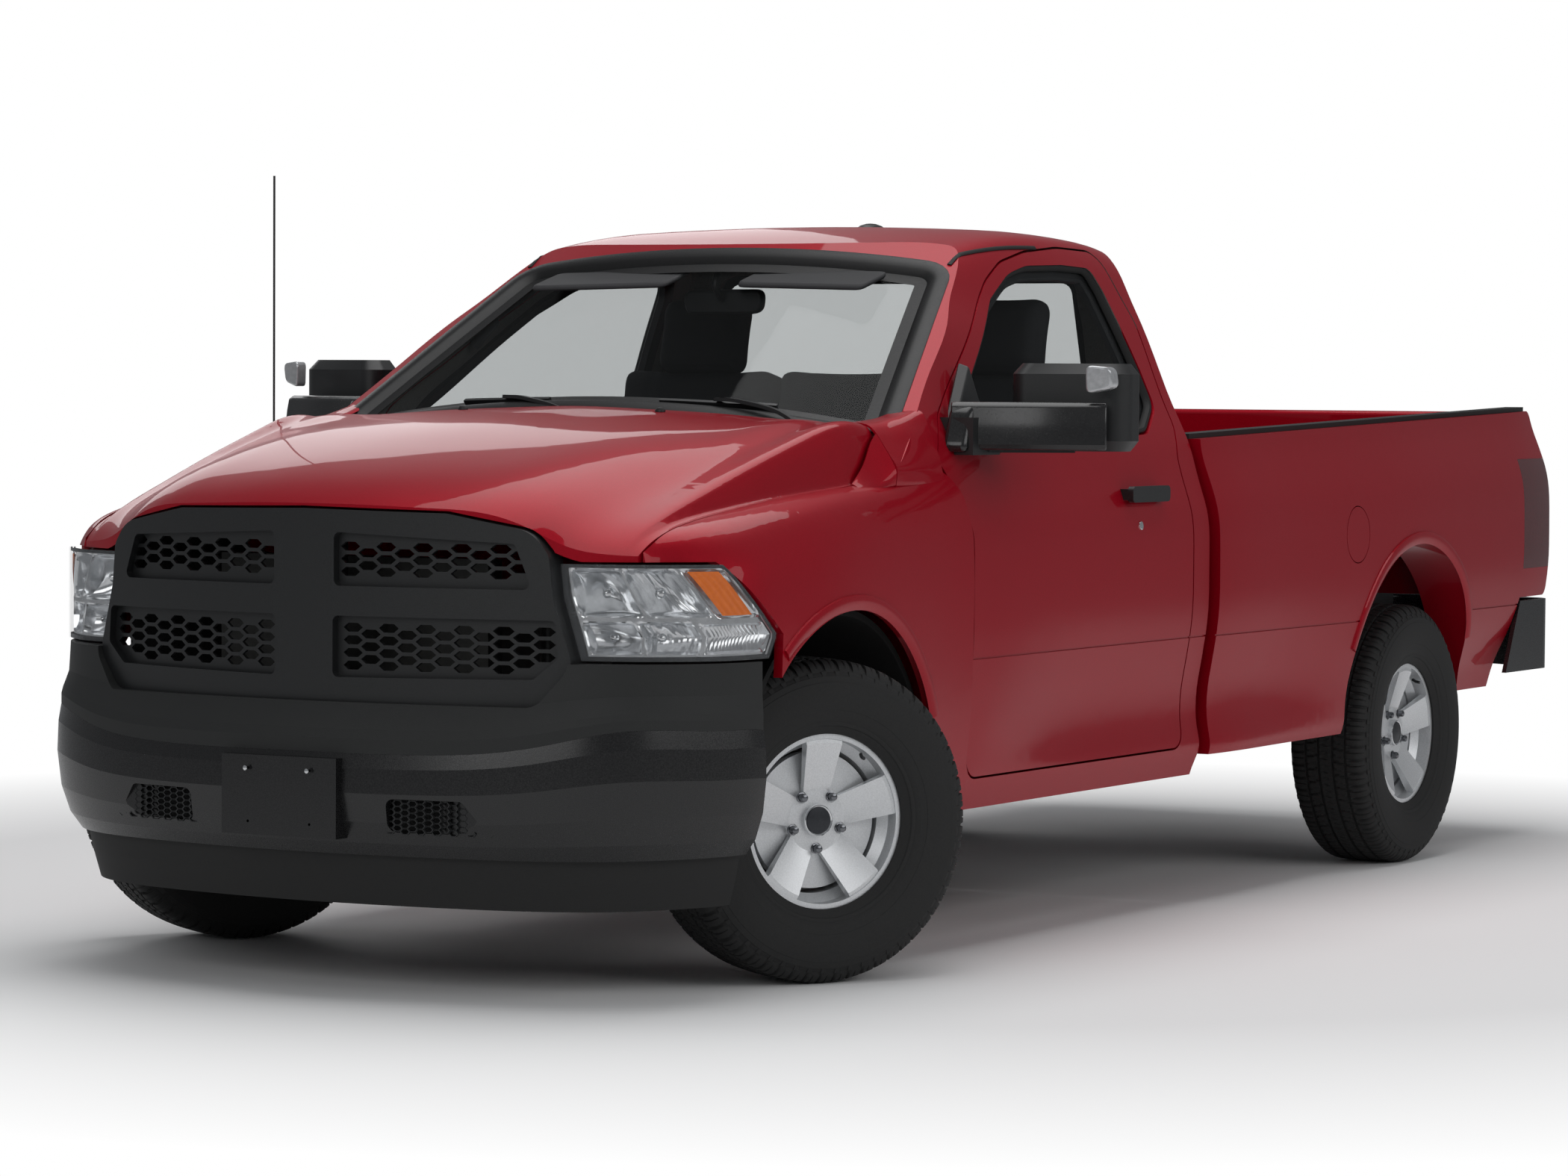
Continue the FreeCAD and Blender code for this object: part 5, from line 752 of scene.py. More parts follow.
def tyre_mesh():
    """A road tyre: ribbed and siped tread, notched shoulders and ringed walls."""
    across = [(-x, drop) for x, drop in reversed(TREAD_CROWN[1:])] + list(TREAD_CROWN)
    fractions = [base + part for base in (0.0, 0.5) for part in PITCH_STEPS]
    rows = [(pitch, fraction) for pitch in range(TREAD_PITCHES) for fraction in fractions]
    vertices = []
    for pitch, fraction in rows:
        angle = math.tau * (pitch + fraction) / TREAD_PITCHES
        sine, cosine = math.sin(angle), math.cos(angle)
        for x, drop in across:
            fade = 1.0 if drop < FADE_START else max(0.0, (FADE_END - drop) / 0.015)
            radius = TYRE_RADIUS - drop - tread_depth(x, fraction) * fade
            vertices.append(Vector((x, sine * radius, cosine * radius)))
    tread = (vertices, grid_faces(len(rows), len(across), True))
    sides = []
    for side in (-1, 1):
        profile = [(x * side * TYRE_HALF_WIDTH / WALL_WIDEST, radius) for x, radius in TYRE_WALL]
        sides.append(revolved(profile, WALL_STEPS))
        for index in range(TREAD_PITCHES):
            turn = Matrix.Rotation(math.tau * (index + 0.3 + side * 0.25) / TREAD_PITCHES, 4, "X")
            rib = prism([(side * x, y, z) for x, y, z in WALL_RIB], Vector((side * 0.0016, 0, 0.0006)))
            sides.append(moved(rib, turn))
    return gather(tread, *sides)


def nut_mesh():
    """A wheel nut: six flats under a domed cap, on a washer face."""
    vertices = []
    for along, radius, flats in NUT_LEVELS:
        for index in range(NUT_STEPS):
            angle = math.tau * index / NUT_STEPS
            share = abs((index % 4) - 2) / 2
            reach = radius * (0.90 + 0.10 * share) if flats else radius
            vertices.append(Vector((along, math.sin(angle) * reach, math.cos(angle) * reach)))
    last = len(NUT_LEVELS) - 1
    faces = grid_faces(last + 1, NUT_STEPS, False, True)
    faces.append(tuple(range(last * NUT_STEPS, (last + 1) * NUT_STEPS)))
    return vertices, faces


def build_wheel(end, side, sign, tyre, nut):
    """One wheel's tyre with tread, nuts, centre cap, valve, brake disc and calliper."""
    label = "_" + end + "_" + side
    joint = JOINTS["spin" + label]
    outward = Vector(joint["axis"]).normalized()
    if outward.x * sign < 0:
        outward = -outward
    place = wheel_matrix(joint["name"], outward)

    def add(name, part, material, slot, body="wheel" + label, turn=None, smooth=SMOOTH_ANGLE):
        spot = place @ turn if turn else place
        return joined(name + label, moved(part, spot), material, slot, body, smooth=smooth)

    tread = add("tyre_tread", tyre, "tyre_rubber", "tyre_rubber", smooth=TREAD_ANGLE)
    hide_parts("tyre" + label)
    nuts = []
    for index in range(NUT_COUNT):
        turn = Matrix.Rotation(-math.tau * (index + 0.5) / NUT_COUNT, 4, "X")
        nuts.append(
            moved(nut, turn @ Matrix.Translation((HUB_FACE_REACH + NUT_SEAT, 0, LUG_CIRCLE_RADIUS)))
        )
    add("wheel_nuts", gather(*nuts), "dark_chrome", "frame_steel")
    cap_ring, cap_face = ([(HUB_CAP_REACH + rise, radius) for rise, radius in line] for line in HUB_CAP)
    add("cap_ring", revolved(cap_ring, CAP_STEPS), "bright_metal", "alloy")
    add("cap_face", revolved(cap_face, CAP_STEPS), "cap_face", "frame_steel")
    stem = swept([Vector(p) for p in VALVE_STEM], ring_section(VALVE_RADIUS), False, ACROSS.cross(UP))
    add("valve", stem, "trim_black", "black_plastic", turn=VALVE_TURN)
    add("brake_disc", revolved(BRAKE_DISC, DISC_STEPS, True), "brake_iron", "cast_parts")
    sweep = arc(CALLIPER_STEPS, -CALLIPER_SWEEP_DEG, CALLIPER_SWEEP_DEG)
    outline = [(CALLIPER_REACH, s * CALLIPER_OUTER, c * CALLIPER_OUTER) for s, c in sweep]
    sweep = arc(CALLIPER_STEPS, CALLIPER_SWEEP_DEG, -CALLIPER_SWEEP_DEG)
    outline += [(CALLIPER_REACH, s * CALLIPER_INNER, c * CALLIPER_INNER) for s, c in sweep]
    calliper = prism(outline, ACROSS * -CALLIPER_REACH)
    holder = "knuckle_" + side if end == "front" else "root"
    turn = Matrix.Rotation(math.radians(-90 * sign), 4, "X")
    soften(add("brake_calliper", calliper, "cast_metal", "cast_parts", holder, turn), CALLIPER_BEVEL)


def build_wheels():
    """The four wheels, which share one tyre mesh and one nut mesh."""
    tyre, nut = tyre_mesh(), nut_mesh()
    for end in ("front", "rear"):
        for side, sign in SIDES.items():
            build_wheel(end, side, sign, tyre, nut)


def surface_tree(name):
    """A node's faces, ready for finding where a line meets them."""
    mesh = NODES[name].data
    return BVHTree.FromPolygons([v.co for v in mesh.vertices], [p.vertices for p in mesh.polygons])


def laid_on(tree, points, way, lift=0.0):
    """Where lines through some points first meet a surface, with the surface's normals there."""
    places, normals = [], []
    for point in points:
        hit, normal, _, _ = tree.ray_cast(Vector(point), way)
        if hit is None:
            continue
        if normal.dot(way) > 0:
            normal = -normal
        places.append(hit + normal * lift)
        normals.append(normal)
    return places, normals


def smooth_line(points, steps):
    """A smooth line through some points."""
    out = []
    ends = [points[0] * 2 - points[1]] + list(points) + [points[-1] * 2 - points[-2]]
    for index in range(1, len(ends) - 2):
        a, b, c, d = ends[index - 1:index + 3]
        bend, twist = 2 * a - 5 * b + 4 * c - d, 3 * b - a - 3 * c + d
        for step in range(steps):
            t = step / steps
            out.append(0.5 * ((2 * b) + (c - a) * t + bend * t ** 2 + twist * t ** 3))
    out.append(Vector(points[-1]))
    return out


def trim_strip(name, loop, section, material, body, slot):
    """A strip with its own section, as (inward, lifted) places, carried round an outline."""
    points, normals = loop
    count = len(points)
    vertices = []
    for index in range(count):
        way = (points[(index + 1) % count] - points[index - 1]).normalized()
        inward = normals[index].cross(way).normalized()
        for reach, height in section:
            vertices.append(points[index] + inward * reach + normals[index] * height)
    return joined(name, (vertices, grid_faces(count, len(section), True, True)), material, slot, body)


def build_glass_trim():
    """The black band and seals round the panes."""
    windshield = face_loops("cab_glass", Vector((0, -0.5, 0.86)), 0.018, 0.55)[0]
    band = [
        (-0.034, 0.0225), (-0.030, 0.0245), (-0.002, 0.0245), (0.012, 0.0200), (0.028, 0.0060),
        (0.062, 0.0012), (0.062, 0.0004), (-0.001, 0.0004), (-0.001, 0.0225),
    ]
    trim_strip("windshield_band", windshield, band, "band_black", "root", "black_plastic")
    pane = face_loops("cab_glass", Vector((0, 1, 0)), 0.018, 0.8)[0]
    seal = [
        (-0.001, 0.012), (0.004, 0.014), (0.020, 0.010), (0.026, 0.0012), (0.026, 0.0003), (-0.001, 0.0003),
    ]
    trim_strip("rear_window_seal", pane, seal, "seal_rubber", "root", "black_plastic")
    for side, sign in SIDES.items():
        loop = face_loops("door_glass_" + side, Vector((sign, 0, 0.2)), 0.016, 0.5)[0]
        ring = [
            (-0.0005, 0.014), (0.003, 0.017), (0.010, 0.016), (0.016, 0.009), (0.019, 0.0012),
            (0.019, 0.0003), (-0.0005, 0.0003),
        ]
        trim_strip("window_seal_" + side, loop, ring, "seal_rubber", "door_" + side, "black_plastic")
        inner = [
            (0.000, -0.0065), (0.034, -0.0065), (0.040, -0.012), (0.036, -0.030), (-0.002, -0.034),
            (-0.002, -0.0065),
        ]
        trim_strip("window_frame_" + side, loop, inner, "cabin_dark", "door_" + side, "interior_plastic")


LAMP_LINE = smooth_line([Vector((x, y + FRONT_WHEEL_Y, 0.0)) for x, y in LAMP_FRONT], LINE_STEPS)


def lamp_line(share):
    """A place along the headlamp's front line in plan."""
    points = LAMP_LINE
    place = min(max(share, 0.0), 1.0) * (len(points) - 1)
    index = min(int(place), len(points) - 2)
    return points[index].lerp(points[index + 1], place - index)


def lamp_share(test):
    """The share along the front line where a test turns true."""
    low, high = 0.0, 1.0
    for _ in range(HALVINGS):
        middle = (low + high) / 2
        if test(lamp_line(middle)):
            high = middle
        else:
            low = middle
    return (low + high) / 2


def lamp_rows(count):
    """For rows from the lamp's bottom to its top: height and where the lens starts and ends."""
    rows = []
    for index in range(count):
        level = LAMP_BOTTOM + (LAMP_TOP - LAMP_BOTTOM) * index / (count - 1)
        inner_x = LAMP_INNER_LINE[0][0]
        for (x_low, z_low), (x_high, z_high) in zip(LAMP_INNER_LINE, LAMP_INNER_LINE[1:]):
            if z_low <= level <= z_high:
                inner_x = x_low + (x_high - x_low) * (level - z_low) / (z_high - z_low)
        if level > LAMP_TAIL_HEIGHT:
            share = (level - LAMP_TAIL_HEIGHT) / (LAMP_TOP - LAMP_TAIL_HEIGHT)
            end_y = LAMP_TAIL_Y + (LAMP_OUTER_Y - LAMP_TAIL_Y) * share
        else:
            share = (LAMP_TAIL_HEIGHT - level) / (LAMP_TAIL_HEIGHT - LAMP_BOTTOM)
            end_y = LAMP_TAIL_Y + LAMP_TAIL_Y * LAMP_FOOT_SHARE * share
        rows.append(
            (level, lamp_share(lambda p: p.x > inner_x), lamp_share(lambda p: p.y > end_y + FRONT_WHEEL_Y))
        )
    return rows


def lamp_surface(columns, rows, depth, span=(0.0, 1.0), rise=(0.0, 1.0)):
    """A grid inside the lens: depth is how far behind the lens it lies at a share across and up."""
    vertices = []
    lines = lamp_rows(rows)
    for row in range(rows):
        up = rise[0] + (rise[1] - rise[0]) * row / (rows - 1)
        place = up * (rows - 1)
        index = min(int(place), rows - 2)
        part = place - index
        level, start, finish = (
            lines[index][k] + (lines[index + 1][k] - lines[index][k]) * part
            for k in range(3)
        )
        for column in range(columns):
            across = span[0] + (span[1] - span[0]) * column / (columns - 1)
            share = start + (finish - start) * across
            here = lamp_line(share)
            way = (lamp_line(share + 0.01) - lamp_line(share - 0.01)).normalized()
            inward = Vector((-way.y, way.x, 0.0))
            back = depth(across, up)
            lean = Vector((0.0, 0.55, 0.0)) if across < 0.5 else Vector((-0.2, 0.4, 0.0))
            push = (inward + lean).normalized()
            vertices.append(Vector((here.x, here.y, level)) + push * back)
    return vertices, grid_faces(rows, columns)


def bowl_depth(across, up):
    """How deep the lamp's bright reflectors lie behind the lens."""
    for left, right, low, high, deep, flutes in LAMP_BOWLS:
        if left < across < right and low < up < high:
            u = (across - left) / (right - left) * 2 - 1
            v = (up - low) / (high - low) * 2 - 1
            fall = 1 - 0.62 * u * u - 0.42 * v * v
            edge = min(1.0, (1 - abs(u)) * 9, (1 - abs(v)) * 7)
            ripple = FLUTE_DEPTH * abs(math.sin(u * flutes * math.pi / 2)) if flutes else 0.0
            return BOWL_REST + edge * (deep * fall + ripple)
    return BOWL_REST


def ribbed_depth(across, up):
    """How deep the amber marker lies, with its upright ribs."""
    return MARKER_DEPTH + MARKER_RIB * abs(math.sin(across * MARKER_RIB_TURNS))


def build_headlamps():
    """Clear lens over bright bowls, with an amber side marker and a fluted turn lamp."""
    for side, sign in SIDES.items():
        mirror = sign < 0
        outer, inner = (lamp_surface(*LENS_GRID, lambda u, v: deep)[0] for deep in LENS_DEPTHS)
        lens = joined(
            "headlamp_lens_" + side, thick_sheet(outer, inner, *reversed(LENS_GRID)), "lamp_lens",
            "lamp_lens", mirror=mirror,
        )
        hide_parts("headlamps")
        joined(
            "headlamp_bowls_" + side, lamp_surface(*BOWL_GRID, bowl_depth), "lamp_reflector", "lamp_lens",
            smooth=BOWL_ANGLE, mirror=mirror,
        )
        amber = lamp_surface(*MARKER_GRID, ribbed_depth, MARKER_SPAN, MARKER_RISE)
        joined("side_marker_" + side, amber, "lamp_amber", "lamp_lens", mirror=mirror)
        rim = [lamp_surface(*RIM_GRID, lambda u, v: RIM_DEPTH, span, rise) for span, rise in LAMP_RIM]
        joined("headlamp_rim_" + side, gather(*rim), "lamp_frame", "lamp_lens", mirror=mirror)
        bulbs = []
        for across, up, deep, radius in BULBS:
            spot = lamp_surface(2, 2, lambda u, v: deep, (across, across + 0.02), (up, up + 0.02))[0][0]
            ball = [(along, radius * share) for along, share in BULB_PROFILE] + [(0.013, 0.0008)]
            turn = Matrix.Translation(spot) @ FACING_FRONT
            bulbs.append(moved(revolved(ball, 20), turn))
        joined("bulbs_" + side, gather(*bulbs), "bright_metal", "lamp_lens", mirror=mirror)


def build_front_details():
    """Fog-slot meshes, plate screws and the dark guides behind the grille."""
    x_from, x_to = FOG_SLOT_X
    z_from, z_to = FOG_SLOT_Z
    pitch = (x_to - x_from) / FOG_COLUMNS
    rise = (z_to - z_from) / FOG_ROWS
    for side, sign in SIDES.items():
        strands = []
        for column in range(FOG_COLUMNS + 1):
            x = x_from + pitch * column
            y = FOG_MESH_Y + FOG_MESH_BOW * (x - x_from) ** 2
            for row in range(FOG_ROWS + 1):
                z = z_from + rise * (row + 0.5 * (column % 2))
                if z <= z_to:
                    strands.append(hex_cell(Vector((x * sign, y, z)), pitch * 0.667, rise * 0.5))
        joined("fog_mesh_" + side, gather(*strands), "trim_black", "gloss_black")
        back = []
        for step in range(FOG_BACK_STEPS + 1):
            x = x_from - 0.01 + (x_to - x_from + 0.02) * step / FOG_BACK_STEPS
            y = FOG_MESH_Y + FOG_BACK_GAP + FOG_MESH_BOW * (x - x_from) ** 2
            back.append(Vector((x * sign, y, z_from - FOG_BACK_EDGE)))
        vertices = back + [place + UP * (z_to - z_from + 2 * FOG_BACK_EDGE) for place in back]
        thick = [place + BACK * 0.003 for place in vertices]
        joined("fog_back_" + side, thick_sheet(vertices, thick, 2, len(back)), "liner_black", "gloss_black")
        low, tall = AIR_GUIDE_Z
        guide = [at(sign * x, y, low) for x, y in AIR_GUIDE]
        joined("air_guide_" + side, prism(guide, UP * tall), "liner_black", "black_plastic")
    screws = []
    for x in (-PLATE_HOLE_X, PLATE_HOLE_X):
        turn = Matrix.Translation((x, PLATE_FACE_Y, PLATE_HOLE_Z)) @ FACING_FRONT
        screws.append(moved(revolved(SCREW_HEAD, 20), turn))
    joined("plate_screws", gather(*screws), "bright_metal", "frame_steel")


def hex_cell(centre, half, tall):
    """One six-sided ring of a mesh, facing forwards."""
    outer = [
        (-half, 0), (-half / 2, tall), (half / 2, tall), (half, 0), (half / 2, -tall), (-half / 2, -tall),
    ]
    vertices = []
    for level in (0.0, HEX_DEPTH):
        for scale in HEX_SCALES:
            vertices.extend(centre + Vector((x * scale, level, z * scale)) for x, z in outer)
    faces = []
    for index in range(6):
        after = (index + 1) % 6
        faces.append((index, after, 6 + after, 6 + index))
        faces.append((12 + index, 18 + index, 18 + after, 12 + after))
        faces.append((index, 12 + index, 12 + after, after))
        faces.append((6 + index, 6 + after, 18 + after, 18 + index))
    return vertices, faces


def at(x, behind, z):
    """A place given with its distance behind the left front wheel's centre."""
    return Vector((x, behind + FRONT_WHEEL_Y, z))


def build_mirrors():
    """Arm covers, sail panels, marker lenses and glasses of the tow mirrors."""
    for side, sign in SIDES.items():
        body, mirror = "door_" + side, sign < 0
        low, high = MIRROR_ARM_Z
        path = smooth_line([at(*p, (low + high) / 2) for p in MIRROR_ARM_PATH], 6)
        half = (high - low) / 2
        section = [
            (-0.030, -half + 0.012), (-0.020, -half), (0.026, -half), (0.036, -half + 0.014),
            (0.037, -0.006), (0.034, 0.020), (0.028, half - 0.010), (0.014, half), (-0.022, half),
            (-0.030, half - 0.010),
        ]
        sail = [at(0.925 - 0.24 * (p[1] - 1.30), *p) for p in MIRROR_SAIL]
        foot = rounded_outline([at(0.905, *p) for p in MIRROR_FOOT], 0.03)
        head_low, head_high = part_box("mirror_" + side)
        edge = Vector((max(abs(head_low.x), abs(head_high.x)), MIRROR_LENS_Y + FRONT_WHEEL_Y, head_high.z))
        lens = rounded_outline([edge + Vector(step) for step in MIRROR_LENS], 0.018)
        for name, part, material, slot, width, segments in (
            ("arm_cover", swept(path, section), "mirror_gloss", "textured_black", 0.004, 2),
            ("sail", prism(sail, Vector((-0.035, 0, 0.012))), "trim_black", "textured_black", 0.006, 3),
            ("foot", prism(foot, Vector((0.062, 0.012, 0))), "mirror_gloss", "textured_black", 0.014, 4),
            ("marker", prism(lens, BACK * 0.045), "marker_clear", "lamp_lens", 0.006, 3),
        ):
            piece = joined("mirror_" + name + "_" + side, part, material, slot, body, mirror=mirror)
            soften(piece, width, segments)
        inner, outer = MIRROR_GLASS_LINE
        for label, z_from, z_to in MIRROR_GLASSES:
            corners = [at(*inner, z_from), at(*outer, z_from), at(*outer, z_to), at(*inner, z_to)]
            pane = prism(rounded_outline(corners, 0.02), BACK * 0.004)
            name = "mirror_glass_" + label + "_" + side
            joined(name, pane, "mirror_silver", "clear_glass", body, mirror=mirror)


def build_body_trim():
    """Roof channels, arch lips, the left door's lock, roof fixture and washer nozzles."""
    shell = surface_tree("cab_shell")
    hood = surface_tree("hood")
    for side, sign in SIDES.items():
        points = [at(x * sign, y, SKY) for x, y in ROOF_CHANNEL]
        places, normals = laid_on(shell, smooth_line(points, 8), -UP, 0.0005)
        section = [
            (-0.006, -0.001), (0.006, -0.001), (0.006, 0.0022), (0.003, 0.0034), (-0.003, 0.0034),
            (-0.006, 0.0022),
        ]
        joined(
            "roof_channel_" + side, swept(places, section, False, normals), "seal_rubber", "black_plastic",
        )
        for label, node, (radius, top), axle in (
            ("front", "front_fenders", FRONT_ARCH, FRONT_WHEEL_Y),
            ("rear", "bed_sides", REAR_ARCH, JOINTS["spin_rear_left"]["pos_m"][1]),
        ):
            tree = surface_tree(node)
            reach = radius + ARCH_LIP_GAP
            rise = top - radius
            guide = [
                Vector((sign * ASIDE, axle + s * reach, rise + c * reach))
                for s, c in arc(ARCH_STEPS, -ARCH_SWEEP_DEG, ARCH_SWEEP_DEG)
            ]
            places, normals = laid_on(tree, guide, ACROSS * -sign, -0.001)
            lip = [
                (-0.019, 0.0), (-0.017, 0.006), (-0.008, 0.0085), (0.004, 0.007), (0.014, 0.003),
                (0.020, 0.0),
            ]
            strip = swept(places, lip, False, normals)
            joined("arch_lip_" + label + "_" + side, strip, "paint_red", "body_paint")
        if side == "left":
            lock = [(0.0, 0.012), (0.003, 0.0115), (0.004, 0.0085), (0.0035, 0.0004)]
            places, normals = laid_on(surface_tree("door_left"), [at(ASIDE, *LOCK_PLACE)], -ACROSS)
            turn = Matrix.Translation(places[0]) @ normals[0].to_track_quat("X", "Z").to_matrix().to_4x4()
            barrel = moved(revolved(lock, 24), turn)
            joined("door_lock_left", barrel, "bright_metal", "frame_steel", "door_left")
    spot = shell.ray_cast(at(0.0, ROOF_FIXTURE_Y, SKY), -UP)[0]
    joined("roof_fixture", dome(spot, FIXTURE_RADII, FIXTURE_LEVELS, 24), "trim_black", "black_plastic")
    nozzles = []
    for x in NOZZLE_X:
        spot = hood.ray_cast(at(x, NOZZLE_Y, SKY), -UP)[0]
        nozzles.append(dome(spot, NOZZLE_RADII, NOZZLE_LEVELS, 16))
    joined("washer_nozzles", gather(*nozzles), "trim_black", "black_plastic", "hood")


def build_cowl_corners():
    """Body-coloured corners between the hood's rear edge, the pillar's foot, the fender and the door."""
    for label, sections in (("corner", COWL_CORNER), ("ramp", COWL_RAMP)):
        rows = [smooth_line([at(x, y, z) for x, z in zip(wide, high)], 4) for y, wide, high in sections]
        lines = [smooth_line([row[index] for row in rows], 4) for index in range(len(rows[0]))]
        outer = [point for line in lines for point in line]
        inner = [point + COWL_THICKNESS for point in outer]
        for side, sign in SIDES.items():
            part = thick_sheet(outer, inner, len(lines), len(lines[0]))
            joined(
                "cowl_" + label + "_" + side, part, "paint_red", "body_paint", smooth=COWL_ANGLE,
                mirror=sign < 0,
            )


def build_wipers():
    """Two wiper arms with blades, parked along the foot of the windshield."""
    glass = surface_tree("cab_glass")
    for label, points in WIPER_LINES.items():
        guide = smooth_line([at(x, y, SKY) for x, y in points], 8)
        places, normals = laid_on(glass, guide, -UP, 0.010)
        blade = [
            (-0.003, -0.009), (0.003, -0.009), (0.006, 0.001), (0.005, 0.008), (-0.005, 0.008),
            (-0.006, 0.001),
        ]
        joined("wiper_blade_" + label, swept(places, blade, False, normals), "trim_black", "black_plastic")
        pivot = at(*WIPER_PIVOTS[label])
        middle = places[len(places) // 2] + normals[len(places) // 2] * 0.014
        reach = smooth_line(
            [pivot, pivot.lerp(middle, 0.3) + UP * 0.020, pivot.lerp(middle, 0.75) + UP * 0.014, middle], 6,
        )
        arm = [(-0.009, -0.004), (0.009, -0.004), (0.008, 0.005), (-0.008, 0.005)]
        joined("wiper_arm_" + label, swept(reach, arm), "trim_black", "black_plastic")


def pad_mesh(half, radius, crown, pull, seams, count=(36, 26, 10)):
    """A crowned pad with round edges, its sides drawn in between the corners and sewn channels."""
    vertices, faces, known = [], [], {}

    def point(i, j, k):
        key = (i, j, k)
        if key not in known:
            p = [2 * part / n - 1 for part, n in zip(key, count)]
            q = Vector(p[axis] * half[axis] for axis in range(3))
            core = Vector(max(min(q[axis], half[axis] - radius), radius - half[axis]) for axis in range(3))
            away = q - core
            if away.length > radius:
                q = core + away.normalized() * radius
            u, v, w = p
            groove = sum(math.exp(-(((u - place) / SEAM_WIDTH) ** 2)) for place in seams)
            groove += math.exp(-(((abs(v) - HEM_PLACE) / HEM_WIDTH) ** 2)) * 0.8
            rise = crown * (1 - u ** 4) * (1 - v ** 4)
            q.z += (rise - SEAM_DEPTH * groove) * (1 if w > 0.2 else 0)
            q.x *= 1 - pull * (1 - v * v) / half[0] * abs(u) ** 3
            q.y *= 1 - pull * (1 - u * u) / half[1] * abs(v) ** 3
            known[key] = len(vertices)
            vertices.append(q)
        return known[key]

    for axis in range(3):
        a, b = (axis + 1) % 3, (axis + 2) % 3
        for end in (0, count[axis]):
            for i in range(count[a]):
                for j in range(count[b]):
                    corners = []
                    for di, dj in ((0, 0), (1, 0), (1, 1), (0, 1)):
                        key = [0, 0, 0]
                        key[axis], key[a], key[b] = end, i + di, j + dj
                        corners.append(point(*key))
                    faces.append(tuple(corners))
    return vertices, faces


def patch_on(tree, corner, wide, tall, way, lift, count=(12, 8)):
    """A thin sheet that follows a surface, over a rectangle seen along a direction."""
    outer = []
    for row in range(count[1]):
        for column in range(count[0]):
            start = corner + wide * (column / (count[0] - 1)) + tall * (row / (count[1] - 1))
            outer.append(tree.ray_cast(start, way)[0] - way * lift)
    inner = [point + way * (lift + 0.001) for point in outer]
    return thick_sheet(outer, inner, count[1], count[0])


def build_tail():
    """Tailgate handle, reversing lenses and the step pads of the rear bumper."""
    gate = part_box("tailgate")[1]
    for name, (corners, step, radius, depth, material, width) in GATE_HANDLE.items():
        outline = rounded_outline([Vector((x, gate.y + step, z)) for x, z in corners], radius)
        part = prism(outline, BACK * depth)
        soften(joined("tailgate_handle_" + name, part, material, "textured_black", "tailgate"), width)
    lamps = surface_tree("tail_lamps")
    bumper = surface_tree("rear_bumper")
    for side, sign in SIDES.items():
        x_from, z_from, x_to, z_to = REVERSE_LENS
        corner = Vector((sign * x_from, gate.y + 0.5, z_from))
        lens = patch_on(lamps, corner, ACROSS * sign * (x_to - x_from), UP * (z_to - z_from), -BACK, 0.003)
        joined("reverse_lens_" + side, lens, "marker_clear", "tail_lens")
        x_from, inset, wide, deep = STEP_PAD
        corner = Vector((sign * x_from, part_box("rear_bumper")[1].y - inset, 1.2))
        pad = patch_on(bumper, corner, ACROSS * sign * wide, -BACK * deep, -UP, 0.004)
        joined("step_pad_" + side, pad, "dam_black", "black_plastic")


def build_seat():
    """A cloth bench in three parts, each cushion crowned and seamed, with two head restraints."""
    names = []
    lean = Matrix.Rotation(math.radians(-SEAT_LEAN_DEG), 4, "X")
    upright = Matrix.Rotation(math.radians(90), 4, "X")
    for label, x_from, x_to in SEAT_PARTS:
        wide = (x_to - x_from) / 2 - SEAT_GAP
        centre = (x_from + x_to) / 2
        seams = (-0.55, 0.55) if wide > 0.2 else (0.0,)
        middle = at(centre, SEAT_FRONT_Y + SEAT_DEPTH / 2, SEAT_TOP - SEAT_THICKNESS / 2)
        level = Matrix.Translation(middle)
        leaning = Matrix.Translation(at(centre, SEAT_BACK_Y, SEAT_BACK_Z)) @ (lean @ upright)
        for kind, half, crown, place in (
            ("seat_cushion_", (SEAT_DEPTH, SEAT_THICKNESS), CUSHION_CROWN, level),
            ("seat_back_", (SEAT_BACK_HEIGHT, SEAT_BACK_THICKNESS), BACK_CROWN, leaning),
        ):
            pad = pad_mesh((wide, half[0] / 2, half[1] / 2), SEAT_ROUNDING, crown, SEAT_PULL, seams)
            names.append(joined(kind + label, moved(pad, place), *SEAT_LOOK, smooth=SEAT_ANGLE))
    for side, sign in SIDES.items():
        place = Matrix.Translation(at(sign * HEAD_REST_X, HEAD_REST_Y, HEAD_REST_Z)) @ lean @ upright
        rest = moved(pad_mesh(HEAD_REST_HALF, 0.048, 0.012, 0.006, (), (22, 18, 8)), place)
        names.append(joined("head_restraint_" + side, rest, *SEAT_LOOK, smooth=SEAT_ANGLE))
    for piece in names:
        smooth = piece.modifiers.new("smooth", "SUBSURF")
        smooth.levels = 1
        smooth.render_levels = 1
    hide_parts("bench_seat")
    low, high = (at(*corner) for corner in SEAT_PLINTH)
    foot = [
        Vector((x, low.y, z))
        for x, z in ((low.x, 0.52), (high.x, 0.52), (high.x, high.z), (low.x, high.z))
    ]
    soften(
        joined("seat_plinth", prism(foot, BACK * (high.y - low.y)), "cabin_dark", "interior_plastic"),
        0.012, 2,
    )


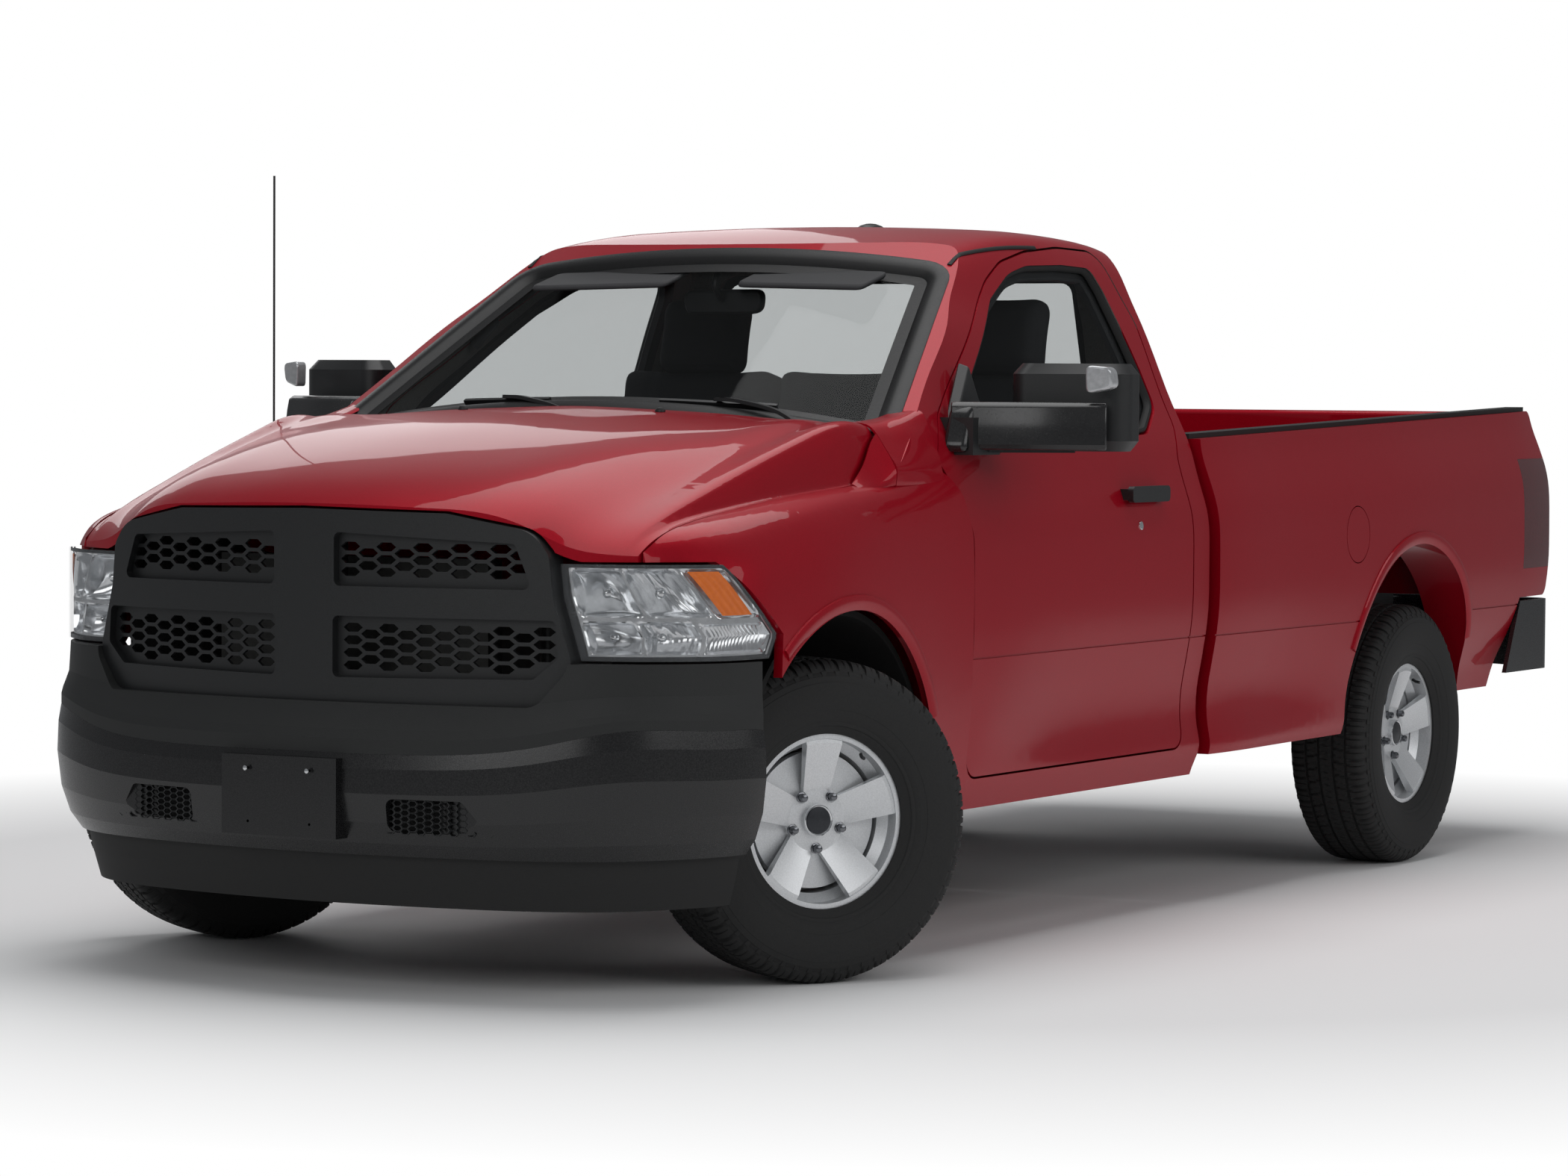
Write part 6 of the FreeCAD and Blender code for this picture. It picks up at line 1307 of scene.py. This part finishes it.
def build_cabin():
    """Rear-view mirror, visors, pillar handle and instrument hood."""
    centre = at(*CABIN_MIRROR)
    corners = ((-0.120, 0, -0.030), (0.120, 0, -0.030), (0.125, 0, 0.036), (-0.125, 0, 0.036))
    outline = rounded_outline([centre + Vector(corner) for corner in corners], 0.028)
    soften(
        joined("cabin_mirror", prism(outline, Vector((0, 0.030, 0.004))), "trim_black", "interior_plastic"),
        0.008, 3,
    )
    bend = [centre + Vector(step) for step in ((0, 0.0, 0.010), (0, -0.035, 0.045), (0, -0.020, 0.095))]
    stalk = swept(smooth_line(bend, 5), ring_section(0.010), False, ACROSS)
    joined("cabin_mirror_stalk", stalk, "trim_black", "interior_plastic")
    for side, sign in SIDES.items():
        corners = [at(sign * x, y, z) for x, y, z in VISOR_CORNERS]
        soften(
            joined(
                "visor_" + side, prism(rounded_outline(corners, 0.03), Vector((0, -0.006, -0.016))),
                "cabin_dark", "interior_plastic",
            ),
            0.006, 2,
        )
    handle = smooth_line([at(*p) for p in PILLAR_HANDLE], 7)
    joined(
        "pillar_handle", swept(handle, ring_section(0.012, 0.018), False, ACROSS), "cabin_grey",
        "interior_plastic",
    )
    x, y, z, half, rise, deep = INSTRUMENT_HOOD
    hood_line = [at(x + c * half, y, z + s * rise) for s, c in arc(13, 0, 180)]
    joined("instrument_hood", prism(hood_line, Vector((0, deep, -0.006))), "cabin_dark", "interior_plastic")


def build_stage():
    """A pale floor that fades into the background, lamps, world and camera."""
    scene = bpy.context.scene
    scene.view_settings.view_transform = "Standard"
    bpy.ops.mesh.primitive_circle_add(
        vertices=96, radius=FLOOR_RADIUS, fill_type="NGON", location=(0, 0, 0),
    )
    floor = bpy.context.object
    floor.name = "floor"
    material, tree, shader = blank("floor_pale")
    set_values(shader, Base_Color=FLOOR_COLOUR, Roughness=0.6, Specular_IOR_Level=0.1)
    place = add_node(tree, "TexCoord")["Object"]
    far = add_node(tree, "VectorMath", {0: place}, operation="LENGTH")["Value"]
    seen = add_node(tree, "LightPath")["Is Camera Ray"]
    share = maths(tree, "MULTIPLY", ramp(tree, far, 0.0, 1.0, *FLOOR_FADE), seen)
    glow = add_node(tree, "Emission")["Emission"]
    mixed_surface(tree, share, shader.outputs["BSDF"], glow, tree.nodes["Material Output"])
    floor.data.materials.append(material)

    scene.world = bpy.data.worlds.new("studio")
    scene.world.use_nodes = True
    tree = scene.world.node_tree
    tree.nodes.clear()
    light = add_node(tree, "Background", {"Color": WORLD_COLOUR, "Strength": WORLD_STRENGTH})["Background"]
    white = add_node(tree, "Background", {"Color": WHITE})["Background"]
    seen = add_node(tree, "LightPath")["Is Camera Ray"]
    mixed_surface(tree, seen, light, white, tree.nodes.new("ShaderNodeOutputWorld"))

    for name, place, target, size, power in LAMPS:
        data = bpy.data.lights.new(name, "AREA")
        data.shape = "RECTANGLE"
        data.size, data.size_y = size
        data.energy = power
        lamp = bpy.data.objects.new(name, data)
        lamp.location = place
        way = Vector(target) - Vector(place)
        lamp.rotation_euler = way.to_track_quat("-Z", "Y").to_euler()
        scene.collection.objects.link(lamp)

    data = bpy.data.cameras.new("camera")
    data.sensor_width = SENSOR_WIDTH
    data.lens = CAMERA_FOCAL_PIXELS / PHOTO_WIDTH * SENSOR_WIDTH
    data.shift_x = (PHOTO_WIDTH / 2 - CAMERA_CENTRE_PIXELS[0]) / PHOTO_WIDTH
    data.shift_y = (CAMERA_CENTRE_PIXELS[1] - PHOTO_HEIGHT / 2) / PHOTO_WIDTH
    data.clip_end = CAMERA_REACH
    heading = math.radians(CAMERA_HEADING_DEG)
    dip = math.radians(CAMERA_DIP_DEG)
    roll = math.radians(CAMERA_ROLL_DEG)
    ahead = Vector((-math.sin(heading) * math.cos(dip), math.cos(heading) * math.cos(dip), -math.sin(dip)))
    level = Vector((math.cos(heading), math.sin(heading), 0.0))
    above = level.cross(ahead)
    right = level * math.cos(roll) + above * math.sin(roll)
    above = right.cross(ahead)
    camera = bpy.data.objects.new("camera", data)
    turned = Matrix((right, above, -ahead)).transposed().to_4x4()
    camera.matrix_world = Matrix.Translation(CAMERA_PLACE) @ turned
    scene.collection.objects.link(camera)
    scene.camera = camera


dress_nodes()
build_glass_trim()
build_headlamps()
build_front_details()
build_wheels()
build_mirrors()
build_body_trim()
build_cowl_corners()
build_wipers()
build_tail()
build_seat()
build_cabin()
build_stage()
